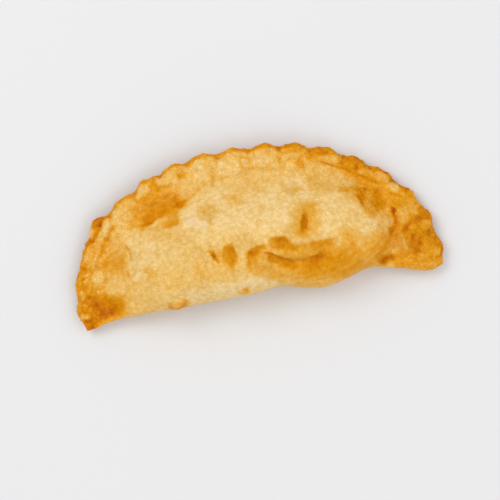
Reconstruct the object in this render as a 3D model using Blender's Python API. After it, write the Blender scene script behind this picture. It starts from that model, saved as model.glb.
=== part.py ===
"""A fried chicken empanada.

A round of dough is folded over its filling and pinched shut along the curved edge, then fried. It lies on
its belly: the pinched rim runs round the back, the smooth fold runs along the front, and the filled body
swells between them and stops short of the right-hand tip, which is a flap of dough with no filling in it.

The pastry is one closed solid. It starts as a UV sphere with its poles at the two tips. Each ring of the
sphere becomes one section of the pastry, from the rim over the top to the fold and back underneath.
Dimples, blisters and creases are then pushed into the skin along its normals.

Sizes are in millimetres, seen from above with +X towards the right-hand tip and +Y towards the pinched rim.
The finished mesh is written in metres.
"""

import math

import bmesh
import bpy
import numpy as np

MM = 0.001
SEED = 4

# The outline. The rim is two quarters of a superellipse about the middle of the chord, the fold a gentle
# line.
RIM_LEFT = 84.8
RIM_RIGHT = 82.6
RIM_DEPTH = 67.6
SQUARENESS_LEFT = 2.32
SQUARENESS_RIGHT = 2.17
TIP_CUT_LEFT = 2.8
TIP_CUT_RIGHT = 1.0
TIP_CUT_HEIGHT = 4.0
TIP_LIFT = 0.5
TIP_ROUND = 3.0
FOLD_LINE = 2.35

# Where the rim and the fold leave those lines: middle, half width, and how far out, or towards the rim. The
# rim's middles are lengths along it from the left-hand tip, the fold's are values of x.
RIM_SWAYS = (
    (27.0, 6.0, 0.3),
    (65.0, 8.0, -0.7),
    (104.0, 15.0, 0.7),
    (178.0, 12.0, -0.8),
    (221.0, 12.0, 1.1),
    (240.0, 8.0, 0.7),
)
RIM_STANDS_OUT = 0.3
FOLD_SWAYS = (
    (-82.0, 9.5, -2.8),
    (-39.0, 3.2, -0.9),
    (7.0, 7.0, 1.6),
    (27.0, 10.5, -2.6),
    (50.0, 8.0, 2.5),
    (75.5, 9.0, -3.7),
)

# The scallops that pinching leaves in the rim, and the scrap of dough that stands out among them.
PINCH_PITCH = 14.25
FIRST_SCALLOP = 7.5
SCALLOP_LEFT = 0.3
SCALLOP_BACK = 0.8
TAB_START = 38.0
TAB_END = 55.0
TAB_REACH = 2.3

# The rim seen from the side.
RIM_THICKNESS = 3.8
RIM_LIFT_LEFT = 1.6
RIM_LIFT_BACK = 5.6
RIM_LIFT_RIGHT = 2.6
RIM_WAVE = 0.5
EDGE_ROUND = 1.3
EDGE_SLOPE = 2.6
EDGE_DROP = 0.9
RIM_WIDTH_LEFT = 8.5
RIM_WIDTH_BACK = 12.5
RIM_WIDTH_RIGHT = 6.5

# The filled body.
BODY_HEIGHT = 21.0
BODY_HALF_LENGTH = 86.0
BODY_MIDDLE = -2.0
BODY_RISE = 29.0
FOLD_ROUND = 17.0
BULGE_MIDDLE = 27.0
BULGE_HALF_WIDTH = 21.0
BULGE_SPREAD = 8.0
EQUATOR = 9.5
EQUATOR_TIP = 4.4
UNDER_FOLD = 12.0
UNDER_RIM = 17.0
UNDER_BLEND = 1.5

# The flap at the right-hand tip, past the end of the body.
BODY_END = 65.6
END_TURN_HEIGHT = 20.0
END_TURN_DEPTH = 13.0
END_ROUND = 13.0
FLAP_PUFF = 2.6
FLAP_ROUND = 5.0

# The roll of dough along the very edge, and the press marks that run in from between the scallops.
ROLL_INSET = 1.9
ROLL_HALF_WIDTH = 1.3
ROLL_HEIGHT = 0.55
PRESS_DEPTH = 0.5
PRESS_REACH = 6.0

# Long soft lumps over the whole skin.
LUMP_HEIGHT = 0.5
LUMP_SHORTEST = 16.0
LUMP_LONGEST = 38.0
LUMP_WAVES = 12

# Blisters that frying raises where the dough has no filling under it.
BLISTERS = 26
BLISTER_SMALLEST = 1.3
BLISTER_LARGEST = 2.5
BLISTER_INSET = 3.4
FLAP_BLISTERS_TO = 7.0
BACK_BLISTERS = (0.30, 0.64)

# Swellings of the top: middle x and y, half length, half width, turn in degrees, height, or depth below
# zero.
SWELLINGS = {
    "slot": (23.6, 30.0, 5.4, 1.9, 70, -1.7),
    "hollow round the slot": (26.2, 31.0, 8.0, 5.6, 82, -0.9),
    "left slot": (-18.7, 21.8, 3.0, 1.1, 107, -1.2),
    "brown dimple": (-11.8, 22.0, 5.8, 3.2, 80, -1.2),
    "dimple over the lip": (11.4, 22.8, 5.6, 3.4, -18, -1.5),
    "lump in the arch": (1.8, 16.6, 5.4, 4.0, 130, 1.0),
    "lip": (21.0, 17.4, 14.0, 4.2, 0, 1.6),
    "back trough": (-40.0, 48.0, 16.5, 5.6, 11, -2.0),
    "trough end": (-35.0, 41.3, 4.5, 3.4, 0, -0.8),
    "trough start": (-45.5, 43.6, 4.0, 2.6, 0, -0.9),
    "left hollow": (-64.0, 30.0, 8.0, 5.2, 85, -1.1),
    "corner hollow": (-70.5, 8.6, 10.0, 6.2, -18, -1.9),
    "right dimple": (55.0, 34.5, 7.5, 5.6, -35, -1.2),
    "flap hollow": (73.0, 10.5, 6.4, 4.6, 95, -1.7),
    "flap ridge": (66.0, 12.0, 6.0, 2.5, 95, 1.5),
}

# Larger blisters and pads, each in its own place: the same.
PADS = {
    "flap, inner": (67.8, 25.1, 4.2, 3.4, 100, 1.4),
    "flap, middle": (71.3, 18.4, 2.6, 2.2, 60, 0.8),
    "flap, ring": (78.0, 19.6, 2.7, 2.4, 60, 0.9),
    "flap, ridge": (66.4, 13.2, 5.2, 2.1, 96, 1.3),
    "flap, outer": (74.6, 30.0, 3.1, 2.5, -35, 0.8),
    "flap, behind": (73.9, 34.2, 2.4, 1.6, -50, 0.5),
    "flap, front": (79.6, 6.4, 2.6, 1.9, 80, 0.6),
    "flap, gold": (73.6, 5.4, 3.0, 2.0, -20, 0.5),
    "right, white": (66.0, 38.8, 3.0, 2.4, -50, 1.0),
    "right, long": (61.2, 43.9, 4.2, 2.3, -35, 0.9),
    "right, upright": (57.0, 47.4, 2.8, 1.6, -70, 0.6),
    "right, orange": (48.4, 52.0, 3.4, 2.2, -30, 0.7),
    "right, back": (38.6, 55.8, 3.8, 1.8, -28, 0.5),
    "back, broad": (23.6, 60.2, 3.8, 2.0, 0, 0.5),
    "back, middle": (10.0, 61.2, 5.0, 3.2, 0, 0.5),
    "ring blister": (2.2, 61.4, 2.8, 2.1, 84, 0.9),
    "back, round": (-8.6, 62.4, 2.0, 1.8, 0, 0.6),
    "back, small": (-13.0, 62.2, 2.0, 1.9, 0, 0.6),
    "back, lower": (-12.8, 58.8, 1.9, 1.6, 0, 0.4),
    "back, pale": (-18.4, 64.0, 3.8, 2.4, 12, 0.9),
    "back left, large": (-25.0, 56.8, 4.0, 3.8, 0, 0.5),
    "back left, ring": (-27.0, 62.8, 1.9, 1.7, 0, 0.5),
    "back left, long": (-35.2, 60.2, 4.2, 2.6, 16, 0.9),
    "back left, twin": (-35.6, 55.2, 2.6, 2.0, 30, 0.5),
    "back left, pale": (-45.0, 57.2, 3.0, 2.4, 28, 0.9),
    "over the trough": (-42.2, 52.4, 2.8, 1.9, 20, 0.5),
    "left back, soft": (-51.8, 52.8, 2.6, 2.0, 40, 0.6),
    "left back, low": (-52.6, 47.0, 2.8, 1.9, 30, 0.5),
    "left back, wide": (-58.6, 48.4, 3.0, 2.6, 40, 0.6),
    "by the groove": (-64.2, 43.8, 4.4, 2.9, 64, 1.3),
    "under the tab": (-72.0, 42.8, 2.9, 1.8, 64, 0.6),
    "left, upper": (-73.4, 35.4, 2.4, 1.9, 60, 0.6),
    "left, outer": (-75.8, 32.0, 2.0, 1.6, 60, 0.5),
    "left, middle": (-73.4, 27.6, 2.3, 1.9, 60, 0.6),
    "left, broad": (-72.2, 22.2, 3.8, 3.0, 76, 1.0),
    "left, inner": (-67.6, 31.6, 3.6, 1.8, 75, 0.5),
    "left, upright": (-77.1, 18.4, 3.8, 1.5, 82, 0.6),
    "left, edge": (-81.0, 15.4, 2.2, 1.5, 80, 0.5),
    "corner, small": (-80.4, 11.4, 1.6, 1.3, 0, 0.4),
    "corner, long": (-81.8, 6.0, 3.0, 1.6, -16, 0.8),
    "fold": (-38.8, 4.4, 3.2, 2.0, 0, 1.5),
    "fold, small": (-8.2, 4.4, 2.4, 1.5, 0, 1.0),
    "beside the end": (61.4, 23.4, 2.8, 2.2, 80, 0.4),
    "left body": (-53.4, 19.4, 3.6, 2.4, 10, 0.5),
}

# Creases of the top, each a cubic Bezier from start to end, its half widths to the left and the right of
# the way it runs, and its depth. The first and the last share of each length is where it fades in and out.
CREASE_TAPER = 0.18
CREASES = {
    "under the lip": ((3.4, 20.6), (9.5, 14.8), (23.5, 8.8), (31.5, 18.2), 0.9, 3.2, 1.6),
    "arch": ((-4.8, 13.4), (-3.0, 21.4), (-1.4, 22.8), (4.8, 22.8), 1.0, 1.8, 1.4),
    "over the lip": ((15.5, 20.2), (20.5, 21.8), (28.5, 20.6), (35.0, 20.4), 0.8, 2.6, 1.0),
    "left rim": ((-61.0, 45.0), (-66.0, 37.0), (-71.5, 28.0), (-75.0, 19.0), 2.2, 1.3, 1.0),
    "back rim": ((-26.0, 50.6), (-16.0, 56.0), (-2.0, 56.6), (14.0, 56.2), 1.4, 3.0, 0.6),
    "right rim": ((33.0, 57.0), (43.0, 50.0), (54.0, 45.4), (63.0, 38.6), 1.2, 2.6, 0.9),
    "body end": ((64.4, 29.8), (64.2, 24.0), (64.2, 15.0), (52.0, 5.4), 1.4, 2.0, 1.6),
    "left wrinkle": ((-57.6, 35.4), (-56.0, 32.4), (-55.8, 29.6), (-56.2, 26.4), 1.4, 0.6, 0.4),
    "under the tab": ((-66.4, 46.6), (-68.6, 43.4), (-70.2, 40.6), (-73.6, 38.2), 0.9, 1.6, 1.1),
    "corner": ((-84.0, 5.0), (-82.0, 4.4), (-81.0, 3.0), (-79.4, 2.0), 0.8, 1.2, 0.8),
    "rim fold": ((-78.4, 18.0), (-77.4, 16.0), (-79.4, 14.0), (-78.8, 11.4), 0.8, 1.4, 0.4),
}

# How finely the sphere is cut, and the share of its triangles that the finished solid keeps.
STATIONS = 300
SECTION_POINTS = 170
UNDERSIDE_WEIGHT = 0.45
KEPT_TRIANGLES = 9800

# The bounding box's middle in the outline's own axes, which the finished part takes as its origin.
ORIGIN = (-0.5, 33.98)


def smooth_step(value):
    """0 below 0, 1 above 1, and a smooth rise between."""
    share = np.clip(value, 0.0, 1.0)
    return share * share * (3.0 - 2.0 * share)


def quarter_round(value):
    """The height of a quarter circle: it leaves 0 straight up and levels out at 1."""
    return np.sqrt(np.clip(1.0 - (1.0 - np.clip(value, 0.0, 1.0)) ** 2, 0.0, 1.0))


def bump(value):
    """A smooth hump of height 1 that has faded by about 2."""
    return np.exp(-(value**2))


# --- the outline ------------------------------------------------------------------------------------------


def fold_line(x):
    """The y of the fold below each x."""
    return FOLD_LINE + sum(sway * bump((x - middle) / half) for middle, half, sway in FOLD_SWAYS)


def rim_curve(samples=1200):
    """Points along the rim from the left-hand tip to the right-hand tip, evenly spaced, and their arc
    lengths."""
    angle = np.linspace(math.pi, 0.0, samples * 4)
    left = angle > math.pi / 2
    power = 2.0 / np.where(left, SQUARENESS_LEFT, SQUARENESS_RIGHT)
    x = np.where(left, RIM_LEFT, RIM_RIGHT) * np.sign(np.cos(angle)) * np.abs(np.cos(angle)) ** power
    y = RIM_DEPTH * np.abs(np.sin(angle)) ** power
    cut = np.where(left, TIP_CUT_LEFT, -TIP_CUT_RIGHT) * bump(y / TIP_CUT_HEIGHT)
    points = np.column_stack((x + cut, y + TIP_LIFT))
    arc = np.concatenate(([0.0], np.cumsum(np.hypot(*np.diff(points, axis=0).T))))
    even = np.linspace(0.0, arc[-1], samples)
    return np.column_stack([np.interp(even, arc, points[:, k]) for k in (0, 1)]), even


RIM, RIM_ARC = rim_curve()
RIM_LENGTH = RIM_ARC[-1]


def round_the_back(x, y, left, back, right):
    """A size that goes from left through back to right as the rim is followed, as smoothly further in."""
    share = np.arctan2(y + 6.0, -x) / math.pi
    size = left + (back - left) * smooth_step(share / 0.36)
    return size + (right - back) * smooth_step((share - 0.52) / 0.26)


def pinch_phase(arc):
    """0 in the middle of a scallop and 0.5 at the pinches on either side."""
    return np.abs((arc - FIRST_SCALLOP) / PINCH_PITCH - np.round((arc - FIRST_SCALLOP) / PINCH_PITCH))


def from_tips(arc, length):
    """0 at either tip of the rim and 1 once that length away from both."""
    return smooth_step(arc / length) * smooth_step((RIM_LENGTH - arc) / length)


def tip_gap(x, y):
    """The distance from each plan point to the nearer tip."""
    return np.minimum(*(np.hypot(x - tip[0], y - tip[1]) for tip in (RIM[0], RIM[-1])))


def scallop(arc):
    """How far the edge stands out from the superellipse."""
    reach = SCALLOP_LEFT + (SCALLOP_BACK - SCALLOP_LEFT) * smooth_step((arc - 45.0) / 25.0)
    sways = sum(sway * bump((arc - middle) / half) for middle, half, sway in RIM_SWAYS)
    hump = reach * np.cos(2.0 * math.pi * pinch_phase(arc))
    tab = np.clip((arc - TAB_START) / (TAB_END - TAB_START - 3.0), 0.0, 1.0) ** 0.8
    tab *= smooth_step((TAB_END + 0.8 - arc) / 3.6)
    return RIM_STANDS_OUT + sways + from_tips(arc, 6.0) * hump + TAB_REACH * tab


def follow(line, x, y, chunk=4000):
    """For each plan point, how far it lies to the left of a line, below zero to the right, and the length
    along the line to the point nearest it. The line's direction turns evenly from each of its points to the
    next."""
    step = np.diff(line, axis=0)
    length = np.hypot(*step.T)
    travel = np.cumsum(length) - length
    heading = np.gradient(line, axis=0)
    heading /= np.hypot(*heading.T)[:, None]
    turn = np.diff(heading, axis=0)
    left = np.empty(len(x))
    along = np.empty(len(x))
    for start in range(0, len(x), chunk):
        part = slice(start, start + chunk)
        away_x = x[part, None] - line[:-1, 0]
        away_y = y[part, None] - line[:-1, 1]
        share = np.clip((away_x * step[:, 0] + away_y * step[:, 1]) / length**2, 0.0, 1.0)
        gap = (away_x - share * step[:, 0]) ** 2 + (away_y - share * step[:, 1]) ** 2
        near = gap.argmin(axis=1)
        share = np.take_along_axis(share, near[:, None], axis=1)
        from_start = np.column_stack((x[part], y[part])) - line[near]
        first = np.where(near[:, None] == 0, 0.0, -1.0)
        last = np.where(near[:, None] == len(step) - 1, 1.0, 2.0)
        for _ in range(2):
            away = from_start - share * step[near]
            ahead = heading[near] + share * turn[near]
            off = (away * ahead).sum(axis=1, keepdims=True)
            change = (away * turn[near] - step[near] * ahead).sum(axis=1, keepdims=True)
            share = np.clip(share - off / np.minimum(change, -0.1 * length[near, None]), first, last)
        away = from_start - share * step[near]
        side = np.where(ahead[:, 0] * away[:, 1] < ahead[:, 1] * away[:, 0], -1.0, 1.0)
        left[part] = side * np.hypot(*away.T)
        along[part] = travel[near] + share[:, 0] * length[near]
    return left, along


def from_rim(x, y):
    """For each plan point, how far it lies inside the superellipse, and the length along it to the nearest
    point."""
    left, along = follow(RIM[::4], x, y)
    return -left, along


# --- the form ---------------------------------------------------------------------------------------------


def body_end(y):
    """The x where the filled body ends: upright behind, and turning back along the fold in front."""
    return BODY_END - END_TURN_DEPTH * np.clip((END_TURN_HEIGHT - y) / 15.0, 0.0, 1.2) ** 2.4


def equator(x):
    """The height at which the top meets the underside along the fold."""
    return EQUATOR_TIP + (EQUATOR - EQUATOR_TIP) * np.clip(1.0 - np.abs(x / 84.0) ** 3, 0.0, 1.0)


def lumps(x, y):
    """Long soft unevenness, the sum of plane waves in random directions."""
    draw = np.random.default_rng(SEED)
    total = np.zeros(len(x))
    for _ in range(LUMP_WAVES):
        length = draw.uniform(LUMP_SHORTEST, LUMP_LONGEST)
        turn, start = draw.uniform(0.0, 2.0 * math.pi, 2)
        total += np.cos(2.0 * math.pi * (x * math.cos(turn) + y * math.sin(turn)) / length + start)
    return LUMP_HEIGHT * total / math.sqrt(LUMP_WAVES)


def heights(x, y):
    """The top and the underside above each plan point, before any dimple, blister or crease."""
    inside, arc = from_rim(x, y)
    rim_gap = np.clip(inside + scallop(arc) - EDGE_ROUND, 0.0, None)
    inside = np.clip(inside, 0.0, None)
    fold_gap = np.clip(y - fold_line(x), 0.0, None)
    across = fold_gap / np.maximum(fold_gap + inside, 1e-6)
    lift = round_the_back(x, y, RIM_LIFT_LEFT, RIM_LIFT_BACK, RIM_LIFT_RIGHT)
    width = round_the_back(x, y, RIM_WIDTH_LEFT, RIM_WIDTH_BACK, RIM_WIDTH_RIGHT)

    under_rim = lift * (1.0 - smooth_step((inside - 2.0) / UNDER_RIM))
    under_fold = equator(x) * (1.0 - quarter_round(fold_gap / UNDER_FOLD))
    under_rim *= smooth_step(across / 0.25)
    blend = np.clip(1.0 - np.abs(under_rim - under_fold) / UNDER_BLEND, 0.0, 1.0)
    under = np.maximum(under_rim, under_fold)
    under += 0.25 * UNDER_BLEND * blend**2 * smooth_step(under / UNDER_BLEND)

    level = equator(x) + (lift + RIM_THICKNESS - equator(x)) * smooth_step(across / 0.5)
    level = np.where(fold_gap <= 0.0, equator(x), level)
    length_share = np.clip(1.0 - np.abs((x - BODY_MIDDLE) / BODY_HALF_LENGTH) ** 2.4, 0.0, 1.0)
    rise = np.sin(0.5 * math.pi * np.clip((inside - width) / BODY_RISE, 0.0, 1.0)) ** 1.35
    side = FOLD_ROUND + BULGE_SPREAD * bump((x - BULGE_MIDDLE) / BULGE_HALF_WIDTH)
    fold_side = quarter_round(fold_gap / side)
    end = np.sin(0.5 * math.pi * np.clip((body_end(y) - x) / END_ROUND, 0.0, 1.0)) ** 0.8
    body = BODY_HEIGHT * length_share**0.7 * rise * fold_side * end
    puff = FLAP_PUFF * quarter_round(fold_gap / FLAP_ROUND) * smooth_step(inside / 7.0)
    top = level + np.maximum(body, puff * (1.0 - 0.6 * end))
    edge = EDGE_DROP * np.clip(1.0 - rim_gap / EDGE_SLOPE, 0.0, 1.0) ** 2
    wave = RIM_WAVE * np.cos(2.0 * math.pi * pinch_phase(arc)) * (1.0 - smooth_step(inside / 12.0))
    wave *= from_tips(arc, 14.0)
    top += (wave - edge) * smooth_step(across / 0.2)
    under += wave * 0.6 * smooth_step(across / 0.2)
    top = np.maximum(top, under + 0.4 * smooth_step(across / 0.1))
    rounding = quarter_round(tip_gap(x, y) / TIP_ROUND)
    top, under = (np.where(fold_gap > 0.0, skin - equator(x), 0.0) for skin in (top, under))
    return equator(x) + top * rounding, equator(x) + under * rounding


def section(share, samples=260):
    """The closed section at a share of the way from the left-hand tip to the right-hand one: its plan
    points, its heights, and whether each is on the top."""
    arc = share * RIM_LENGTH
    here = np.array([np.interp(arc, RIM_ARC, RIM[:, k]) for k in (0, 1)])
    ahead = np.array([np.interp(arc + 0.5, RIM_ARC, RIM[:, k]) for k in (0, 1)])
    behind = np.array([np.interp(arc - 0.5, RIM_ARC, RIM[:, k]) for k in (0, 1)])
    tangent = (ahead - behind) / np.hypot(*(ahead - behind))
    outward = np.array([-tangent[1], tangent[0]])
    fold_x = RIM[0, 0] + (RIM[-1, 0] - RIM[0, 0]) * share
    edge_round = EDGE_ROUND * min(1.0, math.hypot(here[0] - fold_x, here[1] - fold_line(fold_x)) / 8.0)
    rim = here + outward * (scallop(np.array([arc]))[0] - edge_round)

    step = np.linspace(0.0, 1.0, samples)
    across = 1.0 - (1.0 - step) ** 2 * 0.97 - (1.0 - step) * 0.03
    x = rim[0] + (fold_x - rim[0]) * across
    plan = np.column_stack((x, rim[1] + (fold_line(x) - rim[1]) * across))
    top, under = heights(plan[:, 0], plan[:, 1])
    top[-1] = under[-1] = equator(fold_x)

    turn = np.linspace(0.0, math.pi, 14)[1:-1]
    middle, half = 0.5 * (top[0] + under[0]), 0.5 * (top[0] - under[0])
    edge_plan = rim + outward * (edge_round * np.sin(turn))[:, None]
    edge_height = middle - half * np.cos(turn)

    plan_loop = np.vstack((plan, plan[-2::-1], edge_plan))
    height_loop = np.concatenate((top, under[-2::-1], edge_height))
    on_top = np.concatenate((np.ones(samples), np.zeros(samples - 1), np.ones(len(turn))))
    return plan_loop, height_loop, on_top


def skin_points(shares, points_round):
    """The whole skin, one row for each section. Its points are evenly spaced, wider on the underside."""
    rows = np.empty((len(shares), points_round, 3))
    tops = np.empty((len(shares), points_round))
    for row, share in enumerate(shares):
        plan, height, on_top = section(share)
        loop = np.column_stack((plan, height))
        loop = np.vstack((loop, loop[:1]))
        weight = np.where(on_top > 0.5, 1.0, UNDERSIDE_WEIGHT)
        length = np.linalg.norm(np.diff(loop, axis=0), axis=1) * weight
        travel = np.concatenate(([0.0], np.cumsum(length)))
        even = np.arange(points_round) / points_round * travel[-1]
        for axis in range(3):
            rows[row, :, axis] = np.interp(even, travel, loop[:, axis])
        tops[row] = np.interp(even, travel, np.append(on_top, on_top[0]))
    return rows, tops


# --- the relief -------------------------------------------------------------------------------------------


def swelling(x, y, middle_x, middle_y, half_length, half_width, turn, height):
    """A dome with a dip round its foot, or with a negative height a softer-edged dimple, over an ellipse."""
    c, s = math.cos(math.radians(turn)), math.sin(math.radians(turn))
    lengthways = ((x - middle_x) * c + (y - middle_y) * s) / half_length
    sideways = ((y - middle_y) * c - (x - middle_x) * s) / half_width
    out = lengthways**2 + sideways**2
    softness = 1.2 if height > 0.0 else 1.7
    foot = 0.12 * bump((np.sqrt(out) - 1.12) / 0.16)
    return height * (np.clip(1.0 - out, 0.0, 1.0) ** softness - foot)


def crease(x, y, start, first, second, end, left_width, right_width, depth):
    """A groove along a cubic Bezier, shallower towards its ends."""
    share = np.linspace(0.0, 1.0, 41)[:, None]
    line = (
        (1 - share) ** 3 * np.array(start)
        + 3 * (1 - share) ** 2 * share * np.array(first)
        + 3 * (1 - share) * share**2 * np.array(second)
        + share**3 * np.array(end)
    )
    left, along = follow(line, x, y)
    length = np.hypot(*np.diff(line, axis=0).T).sum()
    ends = smooth_step(along / length / CREASE_TAPER) * smooth_step((1.0 - along / length) / CREASE_TAPER)
    return -depth * ends * bump(left / np.where(left > 0.0, left_width, right_width))


def blisters():
    """Middle, half length, half width, turn and height of each blister, scattered over the rim, with
    none overlapping another, a pad, a hollow or a crease."""
    draw = np.random.default_rng(SEED + 1)
    found = []
    hollows = [sizes for sizes in SWELLINGS.values() if sizes[-1] < 0.0]
    taken = [(x, y, 0.5 * (length + width)) for x, y, length, width, *_ in [*PADS.values(), *hollows]]
    for _ in range(6000):
        if len(found) == BLISTERS:
            break
        at = draw.integers(20, len(RIM) - 20)
        on_flap = at > 0.80 * len(RIM)
        width = round_the_back(*RIM[at], RIM_WIDTH_LEFT, RIM_WIDTH_BACK, RIM_WIDTH_RIGHT)
        deepest = FLAP_BLISTERS_TO if on_flap else width + 1.0
        inward = BLISTER_INSET + (deepest - BLISTER_INSET) * draw.uniform() ** 1.4
        radius = draw.uniform(BLISTER_SMALLEST, BLISTER_LARGEST)
        slimness, turn = draw.uniform(0.62, 1.0), draw.uniform(0.0, 180.0)
        height = draw.uniform(0.10, 0.22) * radius
        tangent = RIM[at + 1] - RIM[at]
        tangent /= np.hypot(*tangent)
        x, y = RIM[at] + inward * np.array((tangent[1], -tangent[0]))
        smooth = BACK_BLISTERS[0] < at / len(RIM) < BACK_BLISTERS[1] and len(found) % 4 or on_flap
        clear = all(math.hypot(x - a, y - b) > 0.86 * (radius + r) for a, b, r in taken) and not smooth
        here = np.array([[x], [y]])
        clear = clear and all(crease(*here, *line, 1.0)[0] > -0.15 for *line, _ in CREASES.values())
        if clear and y > fold_line(x) + 2.0 and (x > body_end(y) + 1.0 or not on_flap):
            found.append((x, y, radius, slimness * radius, turn, height))
            taken.append((x, y, radius))
    return found


def edge_work(x, y):
    """The roll along the edge, and the press marks between the scallops."""
    inside, arc = from_rim(x, y)
    rim_gap = inside + scallop(arc)
    phase = pinch_phase(arc)
    roll = ROLL_HEIGHT * bump((rim_gap - ROLL_INSET) / ROLL_HALF_WIDTH)
    roll *= 1.0 - smooth_step((phase - 0.25) / 0.25)
    off = (0.5 - phase) * PINCH_PITCH
    press = PRESS_DEPTH * bump(off / 1.1) * smooth_step((PRESS_REACH - rim_gap) / PRESS_REACH * 1.4)
    return (roll - press) * from_tips(arc, 12.0)


def relief(x, y):
    """How far the top skin stands out from the smooth form, measured along its normal."""
    inside, _ = from_rim(x, y)
    total = lumps(x, y) * smooth_step(inside / 16.0) + edge_work(x, y)
    for sizes in [*blisters(), *PADS.values(), *SWELLINGS.values()]:
        total += swelling(x, y, *sizes)
    for sizes in CREASES.values():
        total += crease(x, y, *sizes)
    return total * smooth_step((y - fold_line(x)) / 3.0) * smooth_step(tip_gap(x, y) / 5.0)


# --- the solid --------------------------------------------------------------------------------------------


def sphere(name, stations, points_round):
    """A UV sphere of radius 1 with its poles on the Z axis, and each vertex's ring and longitude number. The
    longitudes are counted from the one through +Y."""
    mesh = bpy.data.meshes.new(name)
    bm = bmesh.new()
    bmesh.ops.create_uvsphere(bm, u_segments=points_round, v_segments=stations, radius=1.0)
    bm.to_mesh(mesh)
    bm.free()
    points = np.array([vertex.co for vertex in mesh.vertices])
    ring = np.rint(np.arccos(np.clip(points[:, 2], -1.0, 1.0)) / math.pi * stations).astype(int)
    turn = np.mod(np.arctan2(points[:, 0], points[:, 1]) / (2.0 * math.pi), 1.0)
    return mesh, ring, np.rint(turn * points_round).astype(int) % points_round


def make_pastry():
    """The pastry's mesh, at full fineness."""
    mesh, ring, turn = sphere("empanada", STATIONS, SECTION_POINTS)
    rows, tops = skin_points(np.arange(1, STATIONS) / STATIONS, SECTION_POINTS)
    inner = np.clip(ring - 1, 0, STATIONS - 2)
    points = rows[inner, turn]
    on_top = tops[inner, turn]
    points[ring == 0] = rows[0].mean(axis=0)
    points[ring == STATIONS] = rows[-1].mean(axis=0)
    on_top[(ring == 0) | (ring == STATIONS)] = 0.0

    mesh.vertices.foreach_set("co", points.ravel())
    bm = bmesh.new()
    bm.from_mesh(mesh)
    bmesh.ops.recalc_face_normals(bm, faces=bm.faces)
    bm.to_mesh(mesh)
    bm.free()
    mesh.update()

    normals = np.array([vertex.normal for vertex in mesh.vertices])
    upper = on_top * smooth_step((normals[:, 2] + 0.1) / 0.5)
    points = points + normals * (relief(points[:, 0], points[:, 1]) * upper)[:, None]
    points[:, 2] = np.clip(points[:, 2], 0.0, None)
    points[:, :2] -= np.array(ORIGIN)
    mesh.vertices.foreach_set("co", (points * MM).ravel())
    mesh.update()
    return mesh


def fried_dough():
    """Golden fried dough, slightly oily."""
    material = bpy.data.materials.new("fried_dough")
    material.use_nodes = True
    shader = material.node_tree.nodes["Principled BSDF"]
    shader.inputs["Base Color"].default_value = (0.84, 0.55, 0.18, 1.0)
    shader.inputs["Roughness"].default_value = 0.5
    shader.inputs["Metallic"].default_value = 0.0
    return material


def make_empanada():
    """The empanada, its fine mesh thinned where the skin is plain."""
    mesh = make_pastry()
    mesh.materials.append(fried_dough())
    mesh.shade_smooth()
    empanada = bpy.data.objects.new("empanada", mesh)
    part = bpy.data.collections.new("chicken_empanada")
    bpy.context.scene.collection.children.link(part)
    part.objects.link(empanada)
    triangles = sum(len(face.vertices) - 2 for face in mesh.polygons)
    thin = empanada.modifiers.new("Thin", "DECIMATE")
    thin.ratio = KEPT_TRIANGLES / triangles
    return empanada


for old in list(bpy.data.objects):
    bpy.data.objects.remove(old)
make_empanada()
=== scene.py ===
import math
from functools import partial

import bmesh
import bpy
import numpy as np
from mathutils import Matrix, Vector


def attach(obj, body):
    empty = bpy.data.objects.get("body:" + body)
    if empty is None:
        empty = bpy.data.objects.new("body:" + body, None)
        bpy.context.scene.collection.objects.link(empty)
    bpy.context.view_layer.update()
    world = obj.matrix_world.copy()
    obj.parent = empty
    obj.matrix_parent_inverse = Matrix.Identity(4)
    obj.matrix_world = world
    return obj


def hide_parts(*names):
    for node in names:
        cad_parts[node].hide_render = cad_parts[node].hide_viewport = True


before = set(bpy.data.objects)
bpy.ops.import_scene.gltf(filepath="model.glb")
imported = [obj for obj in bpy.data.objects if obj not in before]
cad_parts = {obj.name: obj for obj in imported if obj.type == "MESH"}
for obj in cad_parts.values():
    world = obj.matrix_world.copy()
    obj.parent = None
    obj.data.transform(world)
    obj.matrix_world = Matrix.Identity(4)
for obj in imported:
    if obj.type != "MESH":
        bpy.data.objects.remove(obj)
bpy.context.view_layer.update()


# --- the empanada -------------------------------------------------------------------------------------
# Some light and shade is painted into its colour as well: painted shade in its dips, by the fold and
# under the lip, and painted light in the trough and along the bulge's lower edge.
# A round of wheat dough folded over its filling, pinched shut along the curved edge and deep fried. It
# lies on its belly, with the pinched rim behind, the smooth fold in front and an unfilled flap at the
# right. Frying leaves it golden, browner in the hollows and along the rim, blistered where it is thin.
#
# Sizes are in millimetres, seen from above with +X towards the flap and +Y towards the rim.

MM = 0.001
SEED = 4

# The bounding box's middle in those axes, which the frame takes as its origin.
ORIGIN = (-0.5, 33.98)

# The outline: the rim is two quarters of a superellipse, the fold a gentle line.
RIM_LEFT = 84.8
RIM_RIGHT = 82.6
RIM_DEPTH = 67.6
SQUARENESS_LEFT = 2.32
SQUARENESS_RIGHT = 2.17
TIP_CUT_LEFT = 2.8
TIP_CUT_RIGHT = 1.0
TIP_CUT_HEIGHT = 4.0
TIP_LIFT = 0.5
TIP_ROUND = 3.0
FOLD_LINE = 2.35

# Where the rim and the fold leave those lines: middle, half width, and how far out, or towards the rim.
# The rim's middles are lengths along it from the left-hand tip, the fold's are values of x.
RIM_SWAYS = (
    (27, 6, 0.3),
    (65, 8, -0.7),
    (104, 15, 0.7),
    (178, 12, -0.8),
    (221, 12, 1.1),
    (240, 8, 0.7),
)
RIM_STANDS_OUT = 0.3
FOLD_SWAYS = (
    (-82, 9.5, -2.8),
    (-39, 3.2, -0.9),
    (7, 7, 1.6),
    (27, 10.5, -2.6),
    (50, 8, 2.5),
    (75.5, 9, -3.7),
)

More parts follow.
